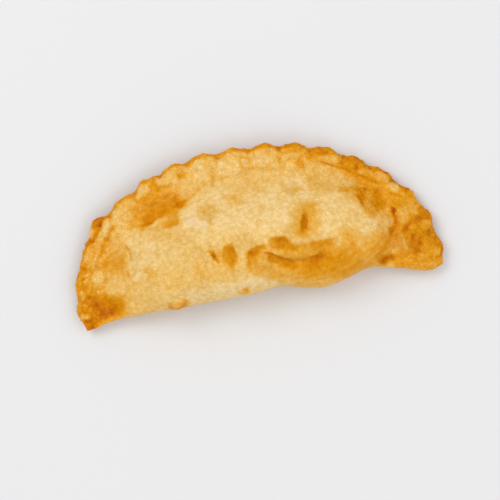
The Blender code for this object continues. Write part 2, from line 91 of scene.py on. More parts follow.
# The scallops that pinching leaves in the rim, and the scrap of dough that stands out among them.
PINCH_PITCH = 14.25
FIRST_SCALLOP = 7.5
SCALLOP_LEFT = 0.3
SCALLOP_BACK = 0.8
TAB_START = 38.0
TAB_END = 55.0
TAB_REACH = 2.3


def smooth_step(value):
    """0 below 0, 1 above 1, and a smooth rise between."""
    share = np.clip(value, 0.0, 1.0)
    return share * share * (3.0 - 2.0 * share)


def quarter_round(value):
    """The height of a quarter circle: it leaves 0 straight up and levels out at 1."""
    return np.sqrt(np.clip(1.0 - (1.0 - np.clip(value, 0.0, 1.0)) ** 2, 0.0, 1.0))


def bump(value):
    """A smooth hump of height 1 that has faded by about 2."""
    return np.exp(-(value**2))


def fold_line(x):
    """The y of the fold below each x."""
    return FOLD_LINE + sum(sway * bump((x - middle) / half) for middle, half, sway in FOLD_SWAYS)


def rim_curve(samples=1200):
    """Points along the rim from the left-hand tip to the right-hand tip, evenly spaced, and their arc
    lengths."""
    angle = np.linspace(math.pi, 0.0, samples * 4)
    left = angle > math.pi / 2
    power = 2.0 / np.where(left, SQUARENESS_LEFT, SQUARENESS_RIGHT)
    x = np.where(left, RIM_LEFT, RIM_RIGHT) * np.sign(np.cos(angle)) * np.abs(np.cos(angle)) ** power
    y = RIM_DEPTH * np.abs(np.sin(angle)) ** power
    cut = np.where(left, TIP_CUT_LEFT, -TIP_CUT_RIGHT) * bump(y / TIP_CUT_HEIGHT)
    points = np.column_stack((x + cut, y + TIP_LIFT))
    arc = np.concatenate(([0.0], np.cumsum(np.hypot(*np.diff(points, axis=0).T))))
    even = np.linspace(0.0, arc[-1], samples)
    return np.column_stack([np.interp(even, arc, points[:, k]) for k in (0, 1)]), even


RIM, RIM_ARC = rim_curve()
RIM_LENGTH = RIM_ARC[-1]


def rim_at(arc):
    """The point of the superellipse at that length along it."""
    return np.array([np.interp(arc, RIM_ARC, RIM[:, k]) for k in (0, 1)])


def in_turn(place, left, back, right, to_back, to_right):
    """The size at the left, then the one at the back, then the one at the right. Each change between them
    starts at a place and takes a length."""
    size = left + (back - left) * smooth_step((place - to_back[0]) / to_back[1])
    return size + (right - back) * smooth_step((place - to_right[0]) / to_right[1])


def round_the_back(x, y, sizes):
    """A size that changes round the rim, and as smoothly further in: at the left, the back, the right."""
    return in_turn(np.arctan2(y + 6.0, -x) / math.pi, *sizes, to_back=(0.0, 0.36), to_right=(0.52, 0.26))


def pinch_phase(arc):
    """0 in the middle of a scallop and 0.5 at the pinches on either side."""
    return np.abs((arc - FIRST_SCALLOP) / PINCH_PITCH - np.round((arc - FIRST_SCALLOP) / PINCH_PITCH))


def from_tips(arc, length):
    """0 at either tip of the rim and 1 once that length away from both."""
    return smooth_step(arc / length) * smooth_step((RIM_LENGTH - arc) / length)


def tip_gap(x, y):
    """The distance from each plan point to the nearer tip."""
    return np.minimum(*(np.hypot(x - tip[0], y - tip[1]) for tip in (RIM[0], RIM[-1])))


def scallop(arc):
    """How far the edge stands out from the superellipse."""
    reach = SCALLOP_LEFT + (SCALLOP_BACK - SCALLOP_LEFT) * smooth_step((arc - 45.0) / 25.0)
    sways = sum(sway * bump((arc - middle) / half) for middle, half, sway in RIM_SWAYS)
    hump = reach * np.cos(math.tau * pinch_phase(arc))
    tab = np.clip((arc - TAB_START) / (TAB_END - TAB_START - 3.0), 0.0, 1.0) ** 0.8
    tab *= smooth_step((TAB_END + 0.8 - arc) / 3.6)
    return RIM_STANDS_OUT + sways + from_tips(arc, 6.0) * hump + TAB_REACH * tab


def follow(line, x, y, chunk=4000):
    """For each plan point, how far it lies to the left of a line, below zero to the right, and the length
    along the line to the point nearest it. The line's direction turns evenly from each of its points to
    the next."""
    step = np.diff(line, axis=0)
    length = np.hypot(*step.T)
    travel = np.cumsum(length) - length
    heading = np.gradient(line, axis=0)
    heading /= np.hypot(*heading.T)[:, None]
    turn = np.diff(heading, axis=0)
    left = np.empty(len(x))
    along = np.empty(len(x))
    for start in range(0, len(x), chunk):
        part = slice(start, start + chunk)
        away_x = x[part, None] - line[:-1, 0]
        away_y = y[part, None] - line[:-1, 1]
        share = np.clip((away_x * step[:, 0] + away_y * step[:, 1]) / length**2, 0.0, 1.0)
        gap = (away_x - share * step[:, 0]) ** 2 + (away_y - share * step[:, 1]) ** 2
        near = gap.argmin(axis=1)
        share = np.take_along_axis(share, near[:, None], axis=1)
        from_start = np.column_stack((x[part], y[part])) - line[near]
        first = np.where(near[:, None] == 0, 0.0, -1.0)
        last = np.where(near[:, None] == len(step) - 1, 1.0, 2.0)
        for _ in range(2):
            away = from_start - share * step[near]
            ahead = heading[near] + share * turn[near]
            off = (away * ahead).sum(axis=1, keepdims=True)
            change = (away * turn[near] - step[near] * ahead).sum(axis=1, keepdims=True)
            share = np.clip(share - off / np.minimum(change, -0.1 * length[near, None]), first, last)
        away = from_start - share * step[near]
        side = np.where(ahead[:, 0] * away[:, 1] < ahead[:, 1] * away[:, 0], -1.0, 1.0)
        left[part] = side * np.hypot(*away.T)
        along[part] = travel[near] + share[:, 0] * length[near]
    return left, along


def from_rim(x, y):
    """For each plan point, how far it lies inside the superellipse, and the length along it to the
    nearest point."""
    left, along = follow(RIM[::4], x, y)
    return -left, along


# The rim seen from the side, the filled body, and the flap past the end of the body.
RIM_THICKNESS = 3.8
RIM_LIFT = (1.6, 5.6, 2.6)
RIM_WIDTH = (8.5, 12.5, 6.5)
RIM_WAVE = 0.5
EDGE_ROUND = 1.3
EDGE_SLOPE = 2.6
EDGE_DROP = 0.9
BODY_HEIGHT = 21.0
BODY_HALF_LENGTH = 86.0
BODY_MIDDLE = -2.0
BODY_RISE = 29.0
FOLD_ROUND = 17.0
BULGE_MIDDLE = 27.0
BULGE_HALF_WIDTH = 21.0
BULGE_SPREAD = 8.0
EQUATOR = 9.5
EQUATOR_TIP = 4.4
UNDER_FOLD = 12.0
UNDER_RIM = 17.0
UNDER_BLEND = 1.5
BODY_END = 65.6
END_TURN_HEIGHT = 20.0
END_TURN_DEPTH = 13.0
END_ROUND = 13.0
FLAP_PUFF = 2.6
FLAP_ROUND = 5.0


def body_end(y):
    """The x where the filled body ends: upright behind, and turning back along the fold in front."""
    return BODY_END - END_TURN_DEPTH * np.clip((END_TURN_HEIGHT - y) / 15.0, 0.0, 1.2) ** 2.4


def equator(x):
    """The height at which the top meets the underside along the fold."""
    return EQUATOR_TIP + (EQUATOR - EQUATOR_TIP) * np.clip(1.0 - np.abs(x / 84.0) ** 3, 0.0, 1.0)


def heights(x, y):
    """The top and the underside above each plan point, before any dimple, blister or crease."""
    inside, arc = from_rim(x, y)
    rim_gap = np.clip(inside + scallop(arc) - EDGE_ROUND, 0.0, None)
    inside = np.clip(inside, 0.0, None)
    fold_gap = np.clip(y - fold_line(x), 0.0, None)
    across = fold_gap / np.maximum(fold_gap + inside, 1e-6)
    lift = round_the_back(x, y, RIM_LIFT)
    width = round_the_back(x, y, RIM_WIDTH)

    under_rim = lift * (1.0 - smooth_step((inside - 2.0) / UNDER_RIM))
    under_fold = equator(x) * (1.0 - quarter_round(fold_gap / UNDER_FOLD))
    under_rim *= smooth_step(across / 0.25)
    blend = np.clip(1.0 - np.abs(under_rim - under_fold) / UNDER_BLEND, 0.0, 1.0)
    under = np.maximum(under_rim, under_fold)
    under += 0.25 * UNDER_BLEND * blend**2 * smooth_step(under / UNDER_BLEND)

    level = equator(x) + (lift + RIM_THICKNESS - equator(x)) * smooth_step(across / 0.5)
    length_share = np.clip(1.0 - np.abs((x - BODY_MIDDLE) / BODY_HALF_LENGTH) ** 2.4, 0.0, 1.0)
    rise = np.sin(0.5 * math.pi * np.clip((inside - width) / BODY_RISE, 0.0, 1.0)) ** 1.35
    side = FOLD_ROUND + BULGE_SPREAD * bump((x - BULGE_MIDDLE) / BULGE_HALF_WIDTH)
    fold_side = quarter_round(fold_gap / side)
    end = np.sin(0.5 * math.pi * np.clip((body_end(y) - x) / END_ROUND, 0.0, 1.0)) ** 0.8
    body = BODY_HEIGHT * length_share**0.7 * rise * fold_side * end
    puff = FLAP_PUFF * quarter_round(fold_gap / FLAP_ROUND) * smooth_step(inside / 7.0)
    top = level + np.maximum(body, puff * (1.0 - 0.6 * end))
    edge = EDGE_DROP * np.clip(1.0 - rim_gap / EDGE_SLOPE, 0.0, 1.0) ** 2
    wave = RIM_WAVE * np.cos(math.tau * pinch_phase(arc)) * (1.0 - smooth_step(inside / 12.0))
    wave *= from_tips(arc, 14.0)
    top += (wave - edge) * smooth_step(across / 0.2)
    under += wave * 0.6 * smooth_step(across / 0.2)
    top = np.maximum(top, under + 0.4 * smooth_step(across / 0.1))
    rounding = quarter_round(tip_gap(x, y) / TIP_ROUND)
    top, under = (np.where(fold_gap > 0.0, skin - equator(x), 0.0) for skin in (top, under))
    return equator(x) + top * rounding, equator(x) + under * rounding


def section(share, samples=260):
    """The closed section at a share of the way from the left-hand tip to the right-hand one: its plan
    points, its heights, and the layer each is on, from 1, the top, to -1, the underside. The rim's edge
    runs from one to the other."""
    arc = share * RIM_LENGTH
    here, ahead, behind = rim_at(arc), rim_at(arc + 0.5), rim_at(arc - 0.5)
    tangent = (ahead - behind) / np.hypot(*(ahead - behind))
    outward = np.array([-tangent[1], tangent[0]])
    fold_x = RIM[0, 0] + (RIM[-1, 0] - RIM[0, 0]) * share
    edge_round = EDGE_ROUND * min(1.0, math.hypot(here[0] - fold_x, here[1] - fold_line(fold_x)) / 8.0)
    rim = here + outward * (scallop(np.array([arc]))[0] - edge_round)

    step = np.linspace(0.0, 1.0, samples)
    across = 1.0 - (1.0 - step) ** 2 * 0.97 - (1.0 - step) * 0.03
    x = rim[0] + (fold_x - rim[0]) * across
    plan = np.column_stack((x, rim[1] + (fold_line(x) - rim[1]) * across))
    top, under = heights(plan[:, 0], plan[:, 1])
    top[-1] = under[-1] = equator(fold_x)

    turn = np.linspace(0.0, math.pi, 26)[1:-1]
    middle, half = 0.5 * (top[0] + under[0]), 0.5 * (top[0] - under[0])
    edge_plan = rim + outward * (edge_round * np.sin(turn))[:, None]
    edge_height = middle - half * np.cos(turn)

    plan_loop = np.vstack((plan, plan[-2::-1], edge_plan))
    height_loop = np.concatenate((top, under[-2::-1], edge_height))
    layer = np.concatenate((np.ones(samples), -np.ones(samples - 1), -np.cos(turn)))
    return plan_loop, height_loop, layer


# How finely the skin is cut, and to how many decimals its values are kept, so that the small bubbles fall
# the same way each time. Its points lie closer together round the rim's edge and wider underneath.
STATIONS = 462
SECTION_POINTS = 208
DECIMALS = 4
EDGE_WEIGHT = 2.0
UNDERSIDE_WEIGHT = 0.42


def skin_points(shares):
    """The whole skin, one row for each section, and the layer of each of its points."""
    rows = np.empty((len(shares), SECTION_POINTS, 3))
    layers = np.empty((len(shares), SECTION_POINTS))
    for row, share in enumerate(shares):
        plan, height, layer = section(share)
        loop = np.column_stack((plan, height))
        loop = np.vstack((loop, loop[:1]))
        weight = np.where(layer > 0.99, 1.0, np.where(layer < -0.99, UNDERSIDE_WEIGHT, EDGE_WEIGHT))
        length = np.linalg.norm(np.diff(loop, axis=0), axis=1) * weight
        travel = np.concatenate(([0.0], np.cumsum(length)))
        even = np.arange(SECTION_POINTS) / SECTION_POINTS * travel[-1]
        for axis in range(3):
            rows[row, :, axis] = np.interp(even, travel, loop[:, axis])
        layers[row] = np.interp(even, travel, np.append(layer, layer[0]))
    return rows, layers


# The roll of dough along the very edge, the press marks that run in from between the scallops, how
# ragged the edge is, the seam where the two layers of dough meet, and long soft lumps all over.
ROLL_INSET = 1.9
ROLL_HALF_WIDTH = 1.3
ROLL_HEIGHT = 0.55
PRESS_DEPTH = 0.5
PRESS_REACH = 6.0
EDGE_RAGGED = 0.28
SEAM_DEPTH = 0.55
SEAM_HALF_WIDTH = 0.3
LUMP_HEIGHT = 0.5
LUMP_SHORTEST = 16.0
LUMP_LONGEST = 38.0

# Blisters that frying raises all over the pinched rim: how many, their half length, how wide they are and
# how high for that length, how far in they start, and how close two may stand. Between two shares of the
# rim's length only one in four is kept, and from a third one on, where the flap starts, none.
BLISTERS = 26
BLISTER_SIZE = (1.3, 2.5)
BLISTER_SLIMNESS = (0.62, 1.0)
BLISTER_STEEPNESS = (0.10, 0.22)
BLISTER_INSET = 3.4
BLISTER_CLEARANCE = 0.86
FEWER_BLISTERS = (0.30, 0.64)
NO_BLISTERS = 0.80

# Swellings of the top: middle x and y, half length, half width, turn in degrees, height, or depth below
# zero.
SWELLINGS = {
    "slot": (23.6, 30, 5.4, 1.9, 70, -1.7),
    "hollow round the slot": (26.2, 31, 8, 5.6, 82, -0.9),
    "left slot": (-18.7, 21.8, 3, 1.1, 107, -1.2),
    "brown dimple": (-11.8, 22, 5.8, 3.2, 80, -1.2),
    "dimple over the lip": (11.4, 22.8, 5.6, 3.4, -18, -1.5),
    "lump in the arch": (1.8, 16.6, 5.4, 4, 130, 1),
    "lip": (21, 17.4, 14, 4.2, 0, 1.6),
    "back trough": (-40, 48, 16.5, 5.6, 11, -2),
    "trough end": (-35, 41.3, 4.5, 3.4, 0, -0.8),
    "trough start": (-45.5, 43.6, 4, 2.6, 0, -0.9),
    "left hollow": (-64, 30, 8, 5.2, 85, -1.1),
    "corner hollow": (-70.5, 8.6, 10, 6.2, -18, -1.9),
    "right dimple": (55, 34.5, 7.5, 5.6, -35, -1.2),
    "flap hollow": (73, 10.5, 6.4, 4.6, 95, -1.7),
    "flap ridge": (66, 12, 6, 2.5, 95, 1.5),
}

# Larger blisters and pads, by where they are: the same, and how brown the top is. Their outlines, and
# those of the other swellings, wander a little.
SWELLING_WANDER = 0.4
PADS = {
    "on the flap": (
        (67.8, 25.1, 4.2, 3.4, 100, 1.4, 0.54),
        (71.3, 18.4, 2.6, 2.2, 60, 0.8, 0.78),
        (78, 19.6, 2.7, 2.4, 60, 0.9, 0.66),
        (66.4, 13.2, 5.2, 2.1, 96, 1.3, 0.54),
        (74.6, 30, 3.1, 2.5, -35, 0.8, 0.58),
        (73.9, 34.2, 2.4, 1.6, -50, 0.5, 0.60),
        (79.6, 6.4, 2.6, 1.9, 80, 0.6, 0.68),
        (73.6, 5.4, 3, 2, -20, 0.5, 0.66),
    ),
    "right rim": (
        (66, 38.8, 3, 2.4, -50, 1, 0.34),
        (61.2, 43.9, 4.2, 2.3, -35, 0.9, 0.55),
        (57, 47.4, 2.8, 1.6, -70, 0.6, 0.58),
        (48.4, 52, 3.4, 2.2, -30, 0.7, 0.88),
        (38.6, 55.8, 3.8, 1.8, -28, 0.5, 0.44),
    ),
    "back rim": (
        (23.6, 60.2, 3.8, 2, 0, 0.5, 0.38),
        (10, 61.2, 5, 3.2, 0, 0.5, 0.26),
        (2.2, 61.4, 2.8, 2.1, 84, 0.9, 0.22),
        (-8.6, 62.4, 2, 1.8, 0, 0.6, 0.12),
        (-13, 62.2, 2, 1.9, 0, 0.6, 0.24),
        (-12.8, 58.8, 1.9, 1.6, 0, 0.4, 0.36),
        (-18.4, 64, 3.8, 2.4, 12, 0.9, 0.20),
    ),
    "back rim, left": (
        (-25, 56.8, 4, 3.8, 0, 0.5, 0.34),
        (-27, 62.8, 1.9, 1.7, 0, 0.5, 0.60),
        (-35.2, 60.2, 4.2, 2.6, 16, 0.9, 0.34),
        (-35.6, 55.2, 2.6, 2, 30, 0.5, 0.62),
        (-45, 57.2, 3, 2.4, 28, 0.9, 0.34),
        (-42.2, 52.4, 2.8, 1.9, 20, 0.5, 0.72),
    ),
    "left rim": (
        (-51.8, 52.8, 2.6, 2, 40, 0.6, 0.46),
        (-52.6, 47, 2.8, 1.9, 30, 0.5, 0.46),
        (-58.6, 48.4, 3, 2.6, 40, 0.6, 0.28),
        (-64.2, 43.8, 4.4, 2.9, 64, 1.3, 0.24),
        (-72, 42.8, 2.9, 1.8, 64, 0.6, 0.30),
        (-73.4, 35.4, 2.4, 1.9, 60, 0.6, 0.58),
        (-75.8, 32, 2, 1.6, 60, 0.5, 0.46),
        (-73.4, 27.6, 2.3, 1.9, 60, 0.6, 0.48),
        (-72.2, 22.2, 3.8, 3, 76, 1, 0.34),
        (-67.6, 31.6, 3.6, 1.8, 75, 0.5, 0.52),
    ),
    "left-hand corner": (
        (-77.1, 18.4, 3.8, 1.5, 82, 0.6, 0.62),
        (-81, 15.4, 2.2, 1.5, 80, 0.5, 0.50),
        (-80.4, 11.4, 1.6, 1.3, 0, 0.4, 0.70),
        (-81.8, 6, 3, 1.6, -16, 0.8, 0.52),
    ),
    "along the fold": (
        (-38.8, 4.4, 3.2, 2, 0, 1.5, 0.52),
        (-8.2, 4.4, 2.4, 1.5, 0, 1, 0.56),
    ),
    "on the body": (
        (61.4, 23.4, 2.8, 2.2, 80, 0.4, 0.26),
        (-53.4, 19.4, 3.6, 2.4, 10, 0.5, 0.12),
    ),
}

# Creases of the top, each a cubic Bezier from start to end, its half widths to the left and the right of
# the way it runs, and its depth. The first and the last share of each length is where it fades.
CREASE_TAPER = 0.18
CREASES = {
    "under the lip": ((3.4, 20.6), (9.5, 14.8), (23.5, 8.8), (31.5, 18.2), 0.9, 3.2, 1.6),
    "arch": ((-4.8, 13.4), (-3, 21.4), (-1.4, 22.8), (4.8, 22.8), 1, 1.8, 1.4),
    "over the lip": ((15.5, 20.2), (20.5, 21.8), (28.5, 20.6), (35, 20.4), 0.8, 2.6, 1),
    "left rim": ((-61, 45), (-66, 37), (-71.5, 28), (-75, 19), 2.2, 1.3, 1),
    "back rim": ((-26, 50.6), (-16, 56), (-2, 56.6), (14, 56.2), 1.4, 3, 0.6),
    "right rim": ((33, 57), (43, 50), (54, 45.4), (63, 38.6), 1.2, 2.6, 0.9),
    "body end": ((64.4, 29.8), (64.2, 24), (64.2, 15), (52, 5.4), 1.4, 2, 1.6),
    "left wrinkle": ((-57.6, 35.4), (-56, 32.4), (-55.8, 29.6), (-56.2, 26.4), 1.4, 0.6, 0.4),
    "under the tab": ((-66.4, 46.6), (-68.6, 43.4), (-70.2, 40.6), (-73.6, 38.2), 0.9, 1.6, 1.1),
    "corner": ((-84, 5), (-82, 4.4), (-81, 3), (-79.4, 2), 0.8, 1.2, 0.8),
    "rim fold": ((-78.4, 18), (-77.4, 16), (-79.4, 14), (-78.8, 11.4), 0.8, 1.4, 0.4),
}

# Hairline wrinkles, too fine for the solid, in the same terms.
WRINKLES = {
    "back": ((-36.5, 48.2), (-30, 49.2), (-24, 52.6), (-18.5, 53.8), 0.35, 0.45, 0.22),
    "back, further on": ((-6.5, 45.6), (-2, 44), (2, 43.4), (8, 43), 0.3, 0.4, 0.12),
    "beside the slot": ((38, 44.6), (44, 42.8), (49, 43), (54, 41.4), 0.4, 0.6, 0.18),
    "right rim": ((46, 48.4), (50, 46.4), (54.4, 44.6), (59.5, 41.2), 0.35, 0.45, 0.3),
    "flap": ((76, 4), (76.6, 6.4), (77.4, 8.6), (77, 11.6), 0.35, 0.5, 0.3),
    "flap, outer": ((79.4, 4.6), (79.6, 6.6), (80.4, 8.8), (80.2, 11), 0.35, 0.5, 0.25),
    "left": ((-66, 41), (-63, 37), (-66, 33), (-69, 29.6), 0.4, 0.6, 0.25),
}


def listed(table):
    """All the rows of a table that has them by where they are."""
    return [row for rows in table.values() for row in rows]


def ripples(x, y, shortest, longest, seed, waves=12):
    """Soft unevenness of height about 1, the sum of plane waves in random directions."""
    draw = np.random.default_rng(seed)
    total = np.zeros(len(x))
    for _ in range(waves):
        length = draw.uniform(shortest, longest)
        turn, start = draw.uniform(0.0, math.tau, 2)
        total += np.cos(math.tau * (x * math.cos(turn) + y * math.sin(turn)) / length + start)
    return total / math.sqrt(waves)


def wander(x, y, reach):
    """The plan points moved a little this way and that, which makes an outline drawn there uneven."""
    return (
        x + reach * ripples(x, y, 3.5, 10.0, SEED + 2) + 0.3 * reach * ripples(x, y, 1.2, 3.0, SEED + 3),
        y + reach * ripples(x, y, 3.5, 10.0, SEED + 4) + 0.3 * reach * ripples(x, y, 1.2, 3.0, SEED + 5),
    )


def ellipse(x, y, middle_x, middle_y, half_length, half_width, turn, squareness=2.0):
    """How far out each plan point lies in an ellipse, or with more squareness a rounder-cornered oblong:
    0 in its middle and 1 on its edge."""
    c, s = math.cos(math.radians(turn)), math.sin(math.radians(turn))
    lengthways = ((x - middle_x) * c + (y - middle_y) * s) / half_length
    sideways = ((y - middle_y) * c - (x - middle_x) * s) / half_width
    return (np.abs(lengthways) ** squareness + np.abs(sideways) ** squareness) ** (1.0 / squareness)


def swelling(x, y, middle_x, middle_y, half_length, half_width, turn, height):
    """A dome with a dip round its foot, or with a negative height a softer-edged dimple."""
    out = ellipse(x, y, middle_x, middle_y, half_length, half_width, turn)
    softness = 1.2 if height > 0.0 else 1.7
    return height * (np.clip(1.0 - out**2, 0.0, 1.0) ** softness - 0.12 * bump((out - 1.12) / 0.16))


def bezier(start, first, second, end):
    """Points along a cubic Bezier."""
    share = np.linspace(0.0, 1.0, 41)[:, None]
    return (
        (1 - share) ** 3 * np.array(start)
        + 3 * (1 - share) ** 2 * share * np.array(first)
        + 3 * (1 - share) * share**2 * np.array(second)
        + share**3 * np.array(end)
    )


def stroke(x, y, start, first, second, end, left_width, right_width, taper=CREASE_TAPER):
    """1 along a Bezier, fading to either side and towards its ends."""
    line = bezier(start, first, second, end)
    left, along = follow(line, x, y)
    share = along / np.hypot(*np.diff(line, axis=0).T).sum()
    return (
        smooth_step(share / taper)
        * smooth_step((1.0 - share) / taper)
        * bump(left / np.where(left > 0.0, left_width, right_width))
    )


def blisters(tries=6000):
    """Middle, half length, half width, turn and height of each blister, scattered over the rim, with
    none overlapping another, a pad, a hollow or a crease."""
    draw = np.random.default_rng(SEED + 1)
    found = []
    hollows = [sizes for sizes in SWELLINGS.values() if sizes[-1] < 0.0]
    taken = [(x, y, 0.5 * (length + width)) for x, y, length, width, *_ in listed(PADS) + hollows]
    for _ in range(tries):
        if len(found) == BLISTERS:
            break
        at = draw.integers(20, len(RIM) - 20)
        deepest = round_the_back(*RIM[at], RIM_WIDTH) + 1.0
        inward = BLISTER_INSET + (deepest - BLISTER_INSET) * draw.uniform() ** 1.4
        radius = draw.uniform(*BLISTER_SIZE)
        slimness, turn = draw.uniform(*BLISTER_SLIMNESS), draw.uniform(0.0, 180.0)
        height = draw.uniform(*BLISTER_STEEPNESS) * radius
        tangent = RIM[at + 1] - RIM[at]
        tangent /= np.hypot(*tangent)
        x, y = RIM[at] + inward * np.array((tangent[1], -tangent[0]))
        share = at / len(RIM)
        if share > NO_BLISTERS or FEWER_BLISTERS[0] < share < FEWER_BLISTERS[1] and len(found) % 4:
            continue
        clear = all(math.hypot(x - a, y - b) > BLISTER_CLEARANCE * (radius + r) for a, b, r in taken)
        here = np.array([[x], [y]])
        if clear and all(stroke(*here, *line)[0] < 0.15 for *line, _ in CREASES.values()):
            found.append((x, y, radius, slimness * radius, turn, height))
            taken.append((x, y, radius))
    return found


def edge_work(inside, arc):
    """The roll along the edge, and the press marks between the scallops."""
    rim_gap = inside + scallop(arc)
    phase = pinch_phase(arc)
    roll = ROLL_HEIGHT * bump((rim_gap - ROLL_INSET) / ROLL_HALF_WIDTH)
    roll *= 1.0 - smooth_step((phase - 0.25) / 0.25)
    off = (0.5 - phase) * PINCH_PITCH
    press = PRESS_DEPTH * bump(off / 1.1) * smooth_step((PRESS_REACH - rim_gap) / PRESS_REACH * 1.4)
    return (roll - press) * from_tips(arc, 12.0)


def relief(x, y, inside, arc):
    """How far the top skin stands out from the smooth form, measured along its normal."""
    lumps = LUMP_HEIGHT * ripples(x, y, LUMP_SHORTEST, LUMP_LONGEST, SEED)
    total = lumps * smooth_step(inside / 16.0) + edge_work(inside, arc)
    wandering = wander(x, y, SWELLING_WANDER)
    for sizes in blisters() + [sizes for *sizes, _ in listed(PADS)] + list(SWELLINGS.values()):
        total += swelling(*(wandering if sizes[-1] > 0.0 else (x, y)), *sizes)
    for *line, depth in [*CREASES.values(), *WRINKLES.values()]:
        total -= depth * stroke(x, y, *line)
    return total * smooth_step((y - fold_line(x)) / 3.0) * smooth_step(tip_gap(x, y) / 5.0)


# How brown the dough is, from 0, pale, to 1, a deep golden brown: the body, its front, the band along the
# rim at the left, the back and the right, how wide that band is, the crisp edge, the seam, the underside,
# and the steep side below the fold at the left-hand tip, the middle and the right.
BROWN_BODY = 0.13
BROWN_FRONT = 0.27
BROWN_RIM = (0.58, 0.33, 0.67)
BROWN_RIM_WIDTH = (12.0, 11.0, 14.0)
BROWN_EDGE = (0.76, 0.80, 0.92)
BROWN_SEAM = 0.94
BROWN_UNDER = 0.52
BROWN_FOLD_SIDE = (0.80, 0.20, 0.62)

